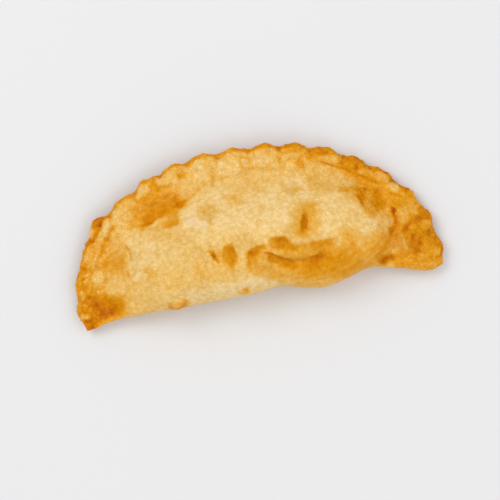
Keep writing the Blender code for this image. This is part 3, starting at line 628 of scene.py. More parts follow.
# Patches, by where they are, the later over the earlier: middle x and y, half length, half width, turn in
# degrees, how brown, how soft their edge is.
PATCHES = {
    "body": (
        (-36, 12, 32, 9, 0, 0.29, 0.5),
        (-12, 16.4, 22, 4.2, 0, 0.34, 0.7),
        (-30, 25.4, 12, 7, -60, 0.27, 0.7),
        (-21.6, 24, 5.4, 4.4, 0, 0.32, 0.7),
        (-5, 26, 6, 4.4, 0, 0.30, 0.7),
        (17, 26.4, 6.6, 3.6, 30, 0.32, 0.7),
        (-41, 38, 8, 4.4, -30, 0.33, 0.7),
        (45, 27.6, 7, 5, 0, 0.24, 0.7),
        (-24, 40, 4.6, 3, -30, -0.03, 0.7),
        (-14, 5.6, 22, 4.2, 0, 0.06, 0.5),
    ),
    "bulge over the fold": (
        (41, 18, 5.2, 5.4, 0, 0.60, 0.6),
        (53, 17, 5.4, 3.4, 20, 0.50, 0.7),
        (32.5, 8, 20, 6.6, 3, 0.76, 0.35),
        # Paler along the bulge's lower edge: painted light against the shade where it faces down towards
        # the front.
        (22, 2.8, 12, 2.2, -4, 0.47, 0.6),
        (53, 12, 10, 4.6, 25, 0.66, 0.6),
        (10, 9.6, 6, 3.2, -20, 0.60, 0.6),
        (14, 4.8, 4.6, 2.4, 0, 0.42, 0.6),
    ),
    "lip": (
        (22, 17.2, 13.5, 3.4, 1, 0.62, 0.25),
        (29.6, 18.8, 5.4, 2, 4, 0.76, 0.35),
        (37, 19.8, 1.6, 2.6, -50, 0.38, 0.6),
        (27, 13, 4.8, 2.2, 12, 1.00, 0.5),
        (24.6, 9.4, 2.4, 1.6, 0, 0.94, 0.7),
        (34.6, 12.6, 4.4, 3.4, 0, 0.80, 0.6),
    ),
    "arch": (
        (-0.4, 16.4, 2.8, 4, 0, 0.54, 0.7),
        (5.8, 20.9, 3, 1.6, -38, 0.47, 0.7),
        (-1, 20.5, 3.2, 2, 8, 0.98, 0.5),
        (10.6, 14.2, 7.6, 1.9, -30, 0.93, 0.2),
        (2.6, 18.2, 2.4, 2, 110, 0.52, 0.5),
        (3.4, 12, 7, 2.6, -16, 0.54, 0.7),
    ),
    "dimple over the lip": (
        (11, 23, 4.2, 2.9, -8, 0.84, 0.35),
        (12.6, 22.8, 3, 2, -40, 1.03, 0.6),
        (8.2, 23.2, 1.6, 1.8, 0, 0.68, 0.7),
        (15, 20.8, 3.4, 1.6, -24, 0.88, 0.5),
    ),
    "slot": (
        (24.7, 31.2, 7.8, 5.8, 82, 0.52, 0.4),
        (27, 36.6, 2.8, 1.4, -10, 0.62, 0.6),
        (21.4, 26.8, 3, 2.2, 20, 0.62, 0.8),
        (23.4, 30, 4.6, 1.5, 70, 0.96, 0.55),
    ),
    "dimples at the left": (
        (-12.1, 21.8, 4.9, 3, 90, 0.74, 0.3),
        (-11, 21.8, 4.4, 1.8, 90, 0.94, 0.5),
        (-19, 22.9, 2.4, 1.1, 104, 0.98, 0.45),
        (-16.6, 22.2, 2.6, 1.2, 100, 0.58, 0.7),
        (-25.5, 17.6, 3.6, 2.4, 0, 0.42, 0.7),
    ),
    "trough": (
        (-39.6, 48.6, 13.5, 5, 16, 0.68, 0.4),
        (-38.6, 47.4, 12, 2.4, 20, 0.86, 0.5),
        (-29.6, 50, 2.6, 2.8, 60, 0.99, 0.35),
        (-26, 53.2, 4, 2, 20, 0.32, 0.6),
        (-46, 42.8, 3.4, 2.4, 20, 0.94, 0.6),
        (-51.6, 42.8, 3.2, 1.3, 10, 0.57, 0.6),
        (-35.4, 41, 3.8, 1.8, 10, 0.86, 0.6),
        (-34.6, 43.4, 3.8, 2, 30, 0.66, 0.7),
    ),
    "rim behind the trough": (
        (-44, 52.8, 8, 3, 20, 0.68, 0.6),
        (-39.6, 56, 7, 2.4, 24, 0.76, 0.6),
        (-40.2, 58.8, 2.8, 1.8, 20, 0.82, 0.6),
        (-27, 60.4, 2.2, 1.8, 0, 0.74, 0.6),
    ),
    "left of the body": (
        (-62.4, 28, 6.6, 4.6, 84, 0.62, 0.4),
        (-62.4, 33.6, 4.6, 3.6, 40, 0.50, 0.6),
        (-68.2, 27.6, 2.2, 1.3, 10, 0.84, 0.6),
        (-60.4, 21.4, 2.6, 1.8, 70, 0.44, 0.7),
        (-48.2, 20, 2.2, 3.2, 10, 0.52, 0.7),
    ),
    "left-hand corner": (
        (-79, 9, 7, 4.6, 100, 0.96, 0.5),
        (-70.6, 9.2, 9, 5, -10, 0.88, 0.4),
        (-74.4, 9.2, 5.6, 2, -60, 1.04, 0.7),
        (-71.6, 5.6, 4.4, 2.2, 10, 1.10, 0.6),
        (-80.8, 1.8, 4.6, 3.2, 20, 1.06, 0.5),
        (-79.4, 22.4, 7.4, 1.7, 82, 0.82, 0.6),
    ),
    "upper right": (
        (56, 35.4, 6.4, 5.6, -70, 0.80, 0.4),
        (56.4, 30, 4.6, 2.6, 20, 0.62, 0.6),
        (54.4, 40, 5.4, 1.6, -8, 1.04, 0.3),
        (51.7, 37.4, 3.4, 1.9, 92, 1.04, 0.5),
        (58.2, 34.8, 5.4, 2.2, -76, 0.92, 0.5),
        (54.4, 34.2, 3.2, 1.4, 82, 0.56, 0.6),
    ),
    "golden crease at the right": (
        (46, 41.6, 4.2, 1.2, 6, 0.72, 0.6),
        (44.4, 45.8, 4.4, 2.2, -28, 0.28, 0.7),
        (54.8, 43.4, 7, 1.9, -34, 0.72, 0.5),
        (48.6, 52.4, 4.6, 2.6, -30, 1.05, 0.5),
        (67.2, 31.4, 4.2, 1.9, -30, 0.82, 0.6),
    ),
    "behind": (
        (17.4, 46.6, 2.4, 2, 0, 0.34, 0.7),
        (22.4, 45.4, 2.8, 2, 0, 0.44, 0.7),
        (31.6, 47.4, 3, 4, 0, 0.44, 0.7),
        (35.6, 44, 4, 3, 30, 0.40, 0.7),
        (26.4, 58.2, 2.2, 3.2, 0, 0.74, 0.6),
        (32, 59.6, 2.4, 2.4, 0, 0.68, 0.6),
        (7, 51.2, 8, 3.4, 0, 0.33, 0.7),
        (-4.4, 60.2, 4.4, 3, 0, 0.20, 0.7),
        (-19.6, 59.6, 3.2, 2.6, 0, 0.12, 0.7),
        (23.4, 63, 4, 1.2, 0, 0.64, 0.6),
        (-4.6, 46.4, 3.8, 2.8, 0, 0.38, 0.7),
        (-18, 43.4, 4.4, 3.2, 0, 0.40, 0.7),
        (-17.8, 39, 3, 1.4, 90, 0.36, 0.8),
    ),
    "end of the body": (
        (63, 20.4, 5, 1.6, 80, 0.78, 0.6),
        (64.3, 27.6, 2.2, 0.7, -80, 1.22, 0.6),
        (59, 24.6, 4.4, 2.6, 70, 0.36, 0.6),
    ),
    "flap": (
        (64.6, 5.6, 5.4, 3.6, 10, 0.76, 0.6),
        (75, 15, 12, 7, 100, 0.88, 0.3),
        (68.4, 19.4, 2.8, 1.3, 42, 1.08, 0.6),
        (74.8, 22.2, 1.8, 1.2, 0, 1.06, 0.6),
        (71.2, 12.2, 4.8, 1.8, 93, 1.06, 0.5),
        (75.8, 12, 4.4, 4, 0, 0.98, 0.5),
        (72.4, 27.4, 4, 1.8, -20, 0.36, 0.5),
        (77, 6.4, 5.4, 3, 80, 0.78, 0.6),
        (75, 0.6, 8, 1.6, 0, 0.60, 0.6),
    ),
    "fold shadows, tab and dark dot": (
        # Painted shadow where the body overhangs the flap.
        (58, 6.8, 4.2, 1.5, 20, 1.04, 0.5),
        (-67.6, 47, 2.8, 2.2, 60, 1.14, 0.5),
        # Painted shadow below the blister on the fold.
        (-38.6, 3.2, 4.2, 2, 0, 0.92, 0.6),
        (-8, 5.2, 0.9, 0.7, 0, 1.10, 0.6),
    ),
}

# Browned lines, in the terms of the creases, the last value being how brown.
STROKES = {
    "left slot": ((-18.9, 23), (-18.4, 21.6), (-17.9, 20.4), (-16.9, 19), 0.5, 0.6, 0.88),
    "arch, left": ((-4.7, 13.6), (-4.2, 15.8), (-3.4, 17.8), (-2.2, 21), 0.8, 1.3, 0.74),
    "arch, top": ((-3, 21.6), (-1, 22.8), (1.4, 23.2), (5.2, 22.6), 0.8, 1.4, 0.74),
    # Under the lip: partly a browned crease, partly painted shadow that the lip casts on the bulge below
    # it.
    "under the lip": ((3.4, 20.5), (9.5, 14.6), (23.5, 8.8), (31, 17.8), 0.3, 0.7, 0.90),
    "under the lip, left end": ((3.2, 20.6), (4.8, 19.8), (6.2, 18.9), (8, 17.8), 0.35, 0.7, 1.12),
    "over the lip": ((23, 20.2), (27, 21.2), (31, 20.8), (35.4, 20.2), 0.35, 0.8, 0.72),
    "left groove": ((-61, 45.6), (-62.6, 41), (-66.8, 37.8), (-70.2, 30.6), 0.9, 1, 0.76),
    "under the tab": ((-67, 46), (-68.4, 43.4), (-69.6, 41), (-73.4, 38.4), 0.6, 0.8, 0.90),
    "left wrinkle": ((-57.6, 35), (-56, 32.2), (-55.8, 29.6), (-56.2, 26.8), 0.4, 0.35, 0.72),
    "left wrinkle, low": ((-58.8, 23.6), (-59.6, 22.4), (-59, 21.2), (-59.5, 19.8), 0.4, 0.4, 0.72),
    "tip line": ((-83.4, 3.8), (-81.4, 3.4), (-79.8, 3), (-77.6, 4.4), 0.5, 0.7, 1.10),
    "golden crease": ((34, 57), (44, 51.6), (52.6, 47.6), (62.2, 39.6), 0.4, 0.6, 0.92),
    "golden crease, second": ((44, 49.2), (50, 46.8), (55.4, 44.6), (61.8, 39.6), 0.35, 0.5, 0.78),
    "flap crease": ((63.8, 36.6), (66.4, 35.4), (68.8, 34), (71.6, 32), 0.5, 0.8, 0.92),
    "body end": ((65, 29.6), (63.4, 26), (65.8, 21.6), (61.4, 17), 0.5, 0.6, 1.02),
    "body end, low": ((62, 17.4), (60.4, 14), (57.6, 9.6), (52.6, 6), 0.7, 0.8, 0.76),
    "back hairline": ((-27, 49), (-23, 50.6), (-21.6, 53.4), (-18.5, 53.8), 0.35, 0.4, 0.62),
    "radial fold": ((-12, 63.6), (-12.6, 60), (-13, 56.6), (-14.6, 52.4), 0.9, 1.2, 0.48),
    "ring, left": ((2.6, 64.4), (-1, 64.6), (-1, 58.6), (2.2, 58.4), 0.35, 0.35, 0.62),
    "ring, right": ((1.6, 64.4), (5.6, 64.6), (5.2, 58.6), (1.8, 58.4), 0.35, 0.35, 0.62),
}

# Painted shade: places where the dough is darker, or below zero brighter, than its brownness alone makes
# it:
# the shade of its dips and hollows painted into the colour, and in the trough painted light. The same
# sizes, and how much darker.
PAINTED_SHADE_PLACES = {
    "by the left slot": (-21, 24.4, 5.4, 4.2, 0, 0.08),
    "left of the dimples": (-32, 26, 9.6, 6.6, -65, 0.04),
    "right of the dimple": (-5, 26.2, 5.6, 4.4, 0, 0.08),
    "under the slot": (16.6, 26.8, 6.2, 3.8, 30, 0.06),
    "lip": (25, 18.4, 11, 3, 4, 0.05),
    "lip, right": (30, 19.3, 6, 1.5, 3, 0.07),
    "slot's hollow": (24.7, 31.2, 7.4, 5.4, 82, 0.04),
    "tan, far right": (35.4, 44, 4.4, 3.4, 0, 0.05),
    "tan, right": (31.6, 48, 3, 4, 0, 0.05),
    "tan behind": (21, 46, 4.4, 2.4, 0, 0.06),
    "tan, further left": (-18, 42.8, 4.6, 3.6, 0, 0.06),
    "tan drip": (-17.8, 38.8, 3, 1.6, 90, 0.05),
    "radial fold": (-13.4, 54.8, 3.4, 1.5, 80, 0.06),
    "right spots": (46, 41.6, 4.6, 1.8, 4, 0.06),
    "brown dimple": (-11.8, 22, 5.4, 3, 80, 0.04),
    "trough": (-38, 47.6, 13, 5, 20, -0.04),
    "upper right": (56, 35, 7, 5, -60, 0.04),
    "left wrinkle": (-56, 31, 5, 1.2, 110, 0.05),
    "wrinkle, low": (-59.8, 21.8, 2.4, 1.6, 70, 0.05),
    "flap": (74, 16, 12, 7.5, 100, 0.04),
}

# Streaks in the browner places: the same sizes, and how much darker and paler they are.
STREAKS = {
    "trough": (-39.6, 47.8, 14, 5.6, 24, 0.05),
    "upper right": (56, 35, 8, 5.6, -70, 0.06),
    "bulge": (34, 9, 22, 7, 10, 0.06),
    "corner": (-73, 9, 8, 6, -58, 0.04),
    "left rim": (-74, 28, 15, 6, 68, 0.04),
    "right rim": (52, 50, 24, 6, -34, 0.06),
    "flap": (75, 14, 12, 8, 82, 0.04),
}

# Patches that browned deep red on the outer edge: length along the rim, half length, how far in, how
# brown.
EDGE_SCORCHES = (
    (44, 6, 2.6, 0.94),
    (52.6, 2.6, 3.4, 1.08),
    (82, 3, 2.2, 0.84),
    (112, 4, 2, 0.82),
    (137, 3.6, 2.2, 0.86),
    (149.5, 5, 2.6, 0.92),
    (163, 4.6, 4.8, 0.94),
    (176, 4.4, 3.4, 0.98),
    (191, 4.6, 2.8, 0.96),
    (205, 4.2, 2.8, 1.02),
    (219, 5, 3.2, 0.96),
)

# The darkest that it gets, how unevenly the edge is browned, how much paler the scattered blisters' tops
# are and how much browner the rings round them, the press marks, how far in these are so, and the lines
# that follow the edge, each that far in.
BROWNEST = 1.16
EDGE_UNEVEN = 0.10
BLISTERS_PALER = (0.1, 0.6)
RING_BROWNER = 0.07
PRESS_BROWNER = (0.04, 0.26)
PRESS_BROWN_REACH = (3.0, 9.0)
LINE_BROWNER = 0.10
LINES_IN = (3.6, 5.4)

# How far the outlines of the patches, of the browned lines and of the places of painted shade wander.
PATCH_WANDER = 0.38
LINE_WANDER = 0.15
PAINTED_SHADE_WANDER = 0.5


def along_rim(arc, sizes):
    """A value that changes along the rim: at the left, the back, the right."""
    return in_turn(arc, *sizes, to_back=(15.0, 55.0), to_right=(163.0, 30.0))


def cover(level, brown, share):
    """One level of brown laid over another, where the share is 1."""
    return level + (brown - level) * np.clip(share, 0.0, 1.0)


def browning(x, y, inside, arc):
    """How brown each plan point of the top is."""
    patchy = wander(x, y, PATCH_WANDER)
    swollen = wander(x, y, SWELLING_WANDER)
    lined = wander(x, y, LINE_WANDER)
    shift = patchy[0] - x
    rim_gap = inside + scallop(arc) + 0.6 * shift
    brown = BROWN_BODY + (BROWN_FRONT - BROWN_BODY) * (1.0 - smooth_step((y - 14.0) / 12.0))
    band = 1.0 - smooth_step((rim_gap - along_rim(arc, BROWN_RIM_WIDTH)) / 9.0)
    brown = cover(brown, along_rim(arc, BROWN_RIM), band)
    for *sizes, level, soft in listed(PATCHES):
        out = ellipse(*patchy, *sizes, squareness=3.0)
        brown = cover(brown, level, smooth_step((1.0 + soft - out) / (2.0 * soft)))
    edge = bump((rim_gap - 1.2) / np.where(rim_gap > 1.2, 1.0, 4.0))
    uneven = EDGE_UNEVEN * ripples(x, y, 3.0, 12.0, SEED + 14)
    brown = cover(brown, along_rim(arc, BROWN_EDGE) + uneven, edge * from_tips(arc, 4.0))
    for middle, half, inward, level in EDGE_SCORCHES:
        share = bump((arc - middle) / half) * (1.0 - smooth_step((rim_gap - 0.5 * inward) / inward))
        brown = cover(brown, level, 1.3 * share)
    draw = np.random.default_rng(SEED + 8)
    pinch = np.clip(((arc - FIRST_SCALLOP) / PINCH_PITCH).astype(int), 0, 15)
    browner, reach = (draw.uniform(*bounds, 16)[pinch] for bounds in (PRESS_BROWNER, PRESS_BROWN_REACH))
    off = (0.5 - pinch_phase(arc)) * PINCH_PITCH + 1.2 * shift
    press = browner * bump(off / 1.1) * (1.0 - smooth_step((rim_gap - reach + 3.0) / 5.0))
    brown += press * from_tips(arc, 30.0)
    for seed, gap in enumerate(LINES_IN, 9):
        line = bump((rim_gap - gap - 0.7 * ripples(x, y, 12.0, 30.0, SEED + seed)) / 0.4)
        brown += LINE_BROWNER * line * smooth_step(0.5 + ripples(x, y, 5.0, 14.0, SEED + seed + 2))
    for number, (*sizes, strength) in enumerate(STREAKS.values()):
        turn = math.radians(sizes[-1])
        lengthways = x * math.cos(turn) + y * math.sin(turn)
        sideways = y * math.cos(turn) - x * math.sin(turn)
        streaks = ripples(lengthways / 4.0, sideways, 1.3, 4.5, SEED + 20 + number)
        brown += strength * streaks * smooth_step((1.3 - ellipse(x, y, *sizes)) / 0.7)
    for *sizes, _ in blisters():
        out = ellipse(*swollen, *sizes)
        paler = draw.uniform(*BLISTERS_PALER) * smooth_step((sizes[1] - 8.0) / 10.0)
        brown -= paler * smooth_step((1.15 - out) / 0.9) * np.clip(brown - 0.12, 0.0, 1.0)
        brown += RING_BROWNER * bump((out - 1.12) / 0.2)
    for *sizes, _, level in listed(PADS):
        out = ellipse(*swollen, *sizes)
        brown = cover(brown, level, smooth_step((1.25 - out) / 0.8))
        brown += RING_BROWNER * bump((out - 1.2) / 0.2)
    for *line, level in STROKES.values():
        brown = cover(brown, np.maximum(brown, level), stroke(*lined, *line, taper=0.12))
    return np.minimum(brown, BROWNEST)


def fold_side(x):
    """How brown the steep side below the fold is."""
    tip, middle, right = BROWN_FOLD_SIDE
    level = middle + (right - middle) * smooth_step((x - 5.0) / 40.0)
    return level + (tip - middle) * smooth_step((-66.0 - x) / 14.0)


def painted_shade_at(x, y):
    """How much painted shade each plan point of the top has, darker in dips and hollows; below zero,
    painted light.
    """
    wandering = wander(x, y, PAINTED_SHADE_WANDER)
    total = np.zeros(len(x))
    for *sizes, painted_shade in PAINTED_SHADE_PLACES.values():
        total += painted_shade * smooth_step((1.5 - ellipse(*wandering, *sizes)) / 1.1)
    return total


# How far in the dough has no filling under it, at the left, the back and the right. How closely small
# bubbles cover the body, and how much more closely thin dough and brown dough. How coarse the pebbles are
# on the underside, and how much coarser on thin dough than on the body, where they are 1.
# How pebbly the dough is also sets how strongly the fine grain of painted shade marks its colour.
THIN_WIDTH = (11.0, 9.0, 16.0)
BUBBLY_BODY = 0.12
BUBBLIER_THIN = 0.75
BUBBLIER_BROWN = 0.5
PEBBLY_UNDER = 0.35
PEBBLIER_THIN = 0.7


def thin_dough(x, y, inside):
    """1 on the rim and the flap, which have no filling under them, and 0 on the body."""
    return 1.0 - smooth_step((inside - round_the_back(x, y, THIN_WIDTH)) / 5.0)


def skin(name):
    """The skin's mesh in metres, with how brown, blistered and pebbly it is and how much painted shade it
    has at each vertex.
    """
    rows, layers = skin_points(np.arange(1, STATIONS) / STATIONS)
    points = np.vstack((rows.reshape(-1, 3), rows[0].mean(axis=0), rows[-1].mean(axis=0)))
    layer = np.append(layers, (-1.0, -1.0))
    points, layer = np.round(points, DECIMALS), np.round(layer, DECIMALS)

    here = np.arange(layers.size).reshape(layers.shape)
    beside = np.roll(here, -1, axis=1)
    faces = np.stack((here[:-1], beside[:-1], beside[1:], here[1:]), axis=-1).reshape(-1, 4).tolist()
    for tip, row in ((layers.size, 0), (layers.size + 1, -1)):
        faces += [(tip, *pair) for pair in zip(here[row].tolist(), beside[row].tolist())]
    mesh = bpy.data.meshes.new(name)
    mesh.from_pydata(points.tolist(), [], faces)
    bm = bmesh.new()
    bm.from_mesh(mesh)
    bmesh.ops.recalc_face_normals(bm, faces=bm.faces)
    bm.to_mesh(mesh)
    bm.free()
    mesh.update()
    normals = np.array([vertex.normal for vertex in mesh.vertices])

    x, y = points[:, 0].copy(), points[:, 1].copy()
    inside, arc = from_rim(x, y)
    upper = (layer > -0.99) * smooth_step((normals[:, 2] + 0.1) / 0.5)
    at_rim = (1.0 - smooth_step((inside + scallop(arc) - 1.5) / 1.5)) * from_tips(arc, 5.0)
    ragged = 1.0 + 0.35 * ripples(x, y, 2.0, 6.0, SEED + 6)
    edge = EDGE_RAGGED * ripples(x, y, 1.8, 8.0, SEED + 15)
    edge -= SEAM_DEPTH * ragged * bump(layer / SEAM_HALF_WIDTH)
    edge *= at_rim
    points += normals * (relief(x, y, inside, arc) * upper + edge)[:, None]
    points[:, 2] = np.clip(points[:, 2], 0.0, None)

    top = browning(x, y, inside, arc)
    steep = (1.0 - smooth_step((normals[:, 2] + 0.05) / 0.4)) * smooth_step((inside - 6.0) / 6.0)
    top = cover(top, fold_side(x), steep)
    under = BROWN_UNDER + 0.10 * ripples(x, y, 6.0, 20.0, SEED + 7) + 0.12 * bump(points[:, 2] / 0.6)
    under = cover(under, along_rim(arc, BROWN_EDGE), 1.0 - smooth_step((inside - 1.0) / 6.0))
    facing = smooth_step((normals[:, 2] + 0.75) / 0.85)
    brown = cover(under, top, facing)
    brown = cover(brown, BROWN_SEAM, 0.8 * bump(layer / 0.4) * at_rim)
    thin = thin_dough(x, y, inside)
    blistered = BUBBLY_BODY + BUBBLIER_THIN * thin + BUBBLIER_BROWN * smooth_step((brown - 0.6) / 0.25)
    pebbly = PEBBLY_UNDER + (1.0 - PEBBLY_UNDER + PEBBLIER_THIN * thin) * facing
    for attribute, values in {
        "browned": brown,
        "blistering": np.clip(blistered, 0.0, 1.0) * smooth_step((normals[:, 2] + 0.2) / 0.5),
        "pebbly": pebbly * smooth_step(points[:, 2] / 0.5),
        "painted_shade": painted_shade_at(x, y) * facing,
    }.items():
        layer = mesh.attributes.new(attribute, "FLOAT", "POINT")
        layer.data.foreach_set("value", np.round(values, DECIMALS))

    points[:, :2] -= np.array(ORIGIN)
    mesh.vertices.foreach_set("co", (np.round(points, DECIMALS) * MM).ravel())
    mesh.shade_smooth()
    mesh.update()
    return mesh


def place(tree, kind, inputs=(), **settings):
    """A node of that kind, its settings made and its inputs, by name or number, set or linked."""
    node = tree.nodes.new(kind)
    for name, value in settings.items():
        setattr(node, name, value)
    for key, value in dict(inputs).items():
        if isinstance(key, str):
            socket = next(socket for socket in node.inputs if socket.enabled and socket.name == key)
        else:
            socket = node.inputs[key]
        if isinstance(value, bpy.types.NodeSocket):
            tree.links.new(value, socket)
        else:
            socket.default_value = value
    return node


def result(node):
    """The first output that the node shows."""
    return next(socket for socket in node.outputs if socket.enabled)


def calculate(tree, operation, *values, clamp=False):
    """The result of a Math node."""
    return result(place(tree, "ShaderNodeMath", enumerate(values), operation=operation, use_clamp=clamp))


def arithmetic(tree):
    """Short names for the commonest Math nodes in that tree."""
    return (partial(calculate, tree, name) for name in ("ADD", "SUBTRACT", "MULTIPLY", "DIVIDE"))


def stand(name, data):
    """A new object in the scene, made of that data."""
    thing = bpy.data.objects.new(name, data)
    bpy.context.scene.collection.objects.link(thing)
    return thing


def plain_material(name):
    """A new material, its nodes and its shader."""
    material = bpy.data.materials.new(name)
    material.use_nodes = True
    return material, material.node_tree, material.node_tree.nodes["Principled BSDF"]


# Small bubbles and pebbles that frying raises all over, too many for the solid. Lengths are in metres.
FRYING = {
    "Bubble spacing": 0.0022,
    "Bubbles per square metre": 30000.0,
    "Smallest bubble": 0.0005,
    "Largest bubble": 0.0013,
    "Bubble height": 0.15,
    "Pebble size": 0.0021,
    "Pebble height": 0.00022,
    "Pebble unevenness": 0.0014,
    "Lump size": 0.0055,
    "Lump height": 0.00050,
}


def frying_tree(dough):
    """The geometry nodes that raise bubbles where the skin says so, and pebbles all over it."""
    tree = bpy.data.node_groups.new("Frying", "GeometryNodeTree")
    tree.interface.new_socket("Skin", in_out="INPUT", socket_type="NodeSocketGeometry")
    for name in FRYING:
        tree.interface.new_socket(name, in_out="INPUT", socket_type="NodeSocketFloat")
    tree.interface.new_socket("Seed", in_out="INPUT", socket_type="NodeSocketInt")
    tree.interface.new_socket("Fried skin", in_out="OUTPUT", socket_type="NodeSocketGeometry")
    node = partial(place, tree)
    plus, minus, times, over = arithmetic(tree)
    given = node("NodeGroupInput").outputs
    position = result(node("GeometryNodeInputPosition"))

    def attribute(name):
        return result(node("GeometryNodeInputNamedAttribute", {"Name": name}, data_type="FLOAT"))

    scatter = {
        "Mesh": given["Skin"],
        "Distance Min": given["Bubble spacing"],
        "Density Max": given["Bubbles per square metre"],
        "Density Factor": attribute("blistering"),
        "Seed": given["Seed"],
    }
    points = result(node("GeometryNodeDistributePointsOnFaces", scatter, distribute_method="POISSON"))
    sizes = {"Min": given["Smallest bubble"], "Max": given["Largest bubble"], "Seed": given["Seed"]}
    radius = result(node("FunctionNodeRandomValue", sizes, data_type="FLOAT"))
    near = result(node("GeometryNodeSampleNearest", {"Geometry": points, "Sample Position": position}))

    def of_nearest(value, kind):
        """That value of the nearest bubble."""
        inputs = {"Geometry": points, "Value": value, "Index": near}
        return result(node("GeometryNodeSampleIndex", inputs, data_type=kind))

    middle = of_nearest(position, "FLOAT_VECTOR")
    own = of_nearest(radius, "FLOAT")
    gap = node("ShaderNodeVectorMath", {0: position, 1: middle}, operation="DISTANCE").outputs["Value"]
    out = over(gap, own)
    dome = calculate(tree, "POWER", minus(1.0, times(out, out), clamp=True), 1.3)
    off = over(minus(out, 1.15), 0.2)
    foot = calculate(tree, "EXPONENT", times(times(off, off), -1.0))
    bubble = minus(dome, times(foot, 0.2))
    total = times(bubble, times(own, given["Bubble height"]))

    pebbly = attribute("pebbly")
    fineness = over(1.0, given["Lump size"])
    lump = node("ShaderNodeTexNoise", {"Vector": position, "Scale": fineness, "Detail": 2.0}).outputs[0]
    total = plus(total, times(times(minus(lump, 0.5), given["Lump height"]), pebbly))
    fineness = over(1.0, given["Pebble size"])
    stir = node("ShaderNodeTexNoise", {"Vector": position, "Scale": fineness, "Detail": 1.0})
    stir = {0: stir.outputs["Color"], "Scale": given["Pebble unevenness"]}
    stir = node("ShaderNodeVectorMath", stir, operation="SCALE").outputs[0]
    stirred = node("ShaderNodeVectorMath", {0: position, 1: stir}, operation="ADD").outputs[0]
    cells = {"Vector": stirred, "Scale": fineness, "Smoothness": 0.6}
    cells = node("ShaderNodeTexVoronoi", cells, feature="SMOOTH_F1")
    pebble = minus(0.45, cells.outputs["Distance"])
    total = plus(total, times(times(pebble, given["Pebble height"]), pebbly))

    kept = given["Skin"]
    for name, value in (("bubble", bubble), ("pebble", pebble)):
        stored = {"Geometry": kept, "Name": name, "Value": value}
        kept = result(node("GeometryNodeStoreNamedAttribute", stored, data_type="FLOAT", domain="POINT"))
    normal = result(node("GeometryNodeInputNormal"))
    shift = node("ShaderNodeVectorMath", {0: normal, "Scale": total}, operation="SCALE").outputs[0]
    moved = node("GeometryNodeSetPosition", {"Geometry": kept, "Offset": shift})
    whole = node("GeometryNodeRealizeInstances", {"Geometry": result(moved)})
    coated = node("GeometryNodeSetMaterial", {"Geometry": result(whole), "Material": dough})
    node("NodeGroupOutput", {0: result(coated)})
    return tree


def fried(raw, tree):
    """The plain mesh that the geometry nodes make of a raw one."""
    carrier = stand("raw", raw)
    modifier = carrier.modifiers.new("Frying", "NODES")
    modifier.node_group = tree
    for item in tree.interface.items_tree:
        if item.name in FRYING:
            modifier[item.identifier] = FRYING[item.name]
        elif item.name == "Seed":
            modifier[item.identifier] = SEED
    layers = bpy.context.evaluated_depsgraph_get()
    mesh = bpy.data.meshes.new_from_object(
        carrier.evaluated_get(layers), preserve_all_data_layers=True, depsgraph=layers
    )
    bpy.data.objects.remove(carrier)
    return mesh


# The colours of fried dough as the eye sees them, from pale to the darkest brown.
DOUGH_COLOURS = (
    (0.00, (238, 206, 150)),
    (0.12, (236, 201, 133)),
    (0.25, (233, 191, 113)),
    (0.40, (230, 180, 90)),
    (0.55, (228, 167, 65)),
    (0.70, (224, 154, 39)),
    (0.83, (218, 145, 9)),
    (0.94, (211, 134, 0)),
    (1.06, (200, 116, 0)),
    (1.20, (178, 88, 0)),
)
RAMP_END = 1.20

# The mottling: how large its blotches are, how detailed and how strong.
MOTTLES = (
    (9.0, 3.0, 0.30),
    (3.6, 2.0, 0.32),
    (1.0, 2.0, 0.24),
)


def linear(colour, alpha=1.0):
    """A colour from 0 to 255 as the eye sees it, as Blender's linear values."""
    share = np.array(colour) / 255.0
    return (*np.where(share <= 0.04045, share / 12.92, ((share + 0.055) / 1.055) ** 2.4), alpha)


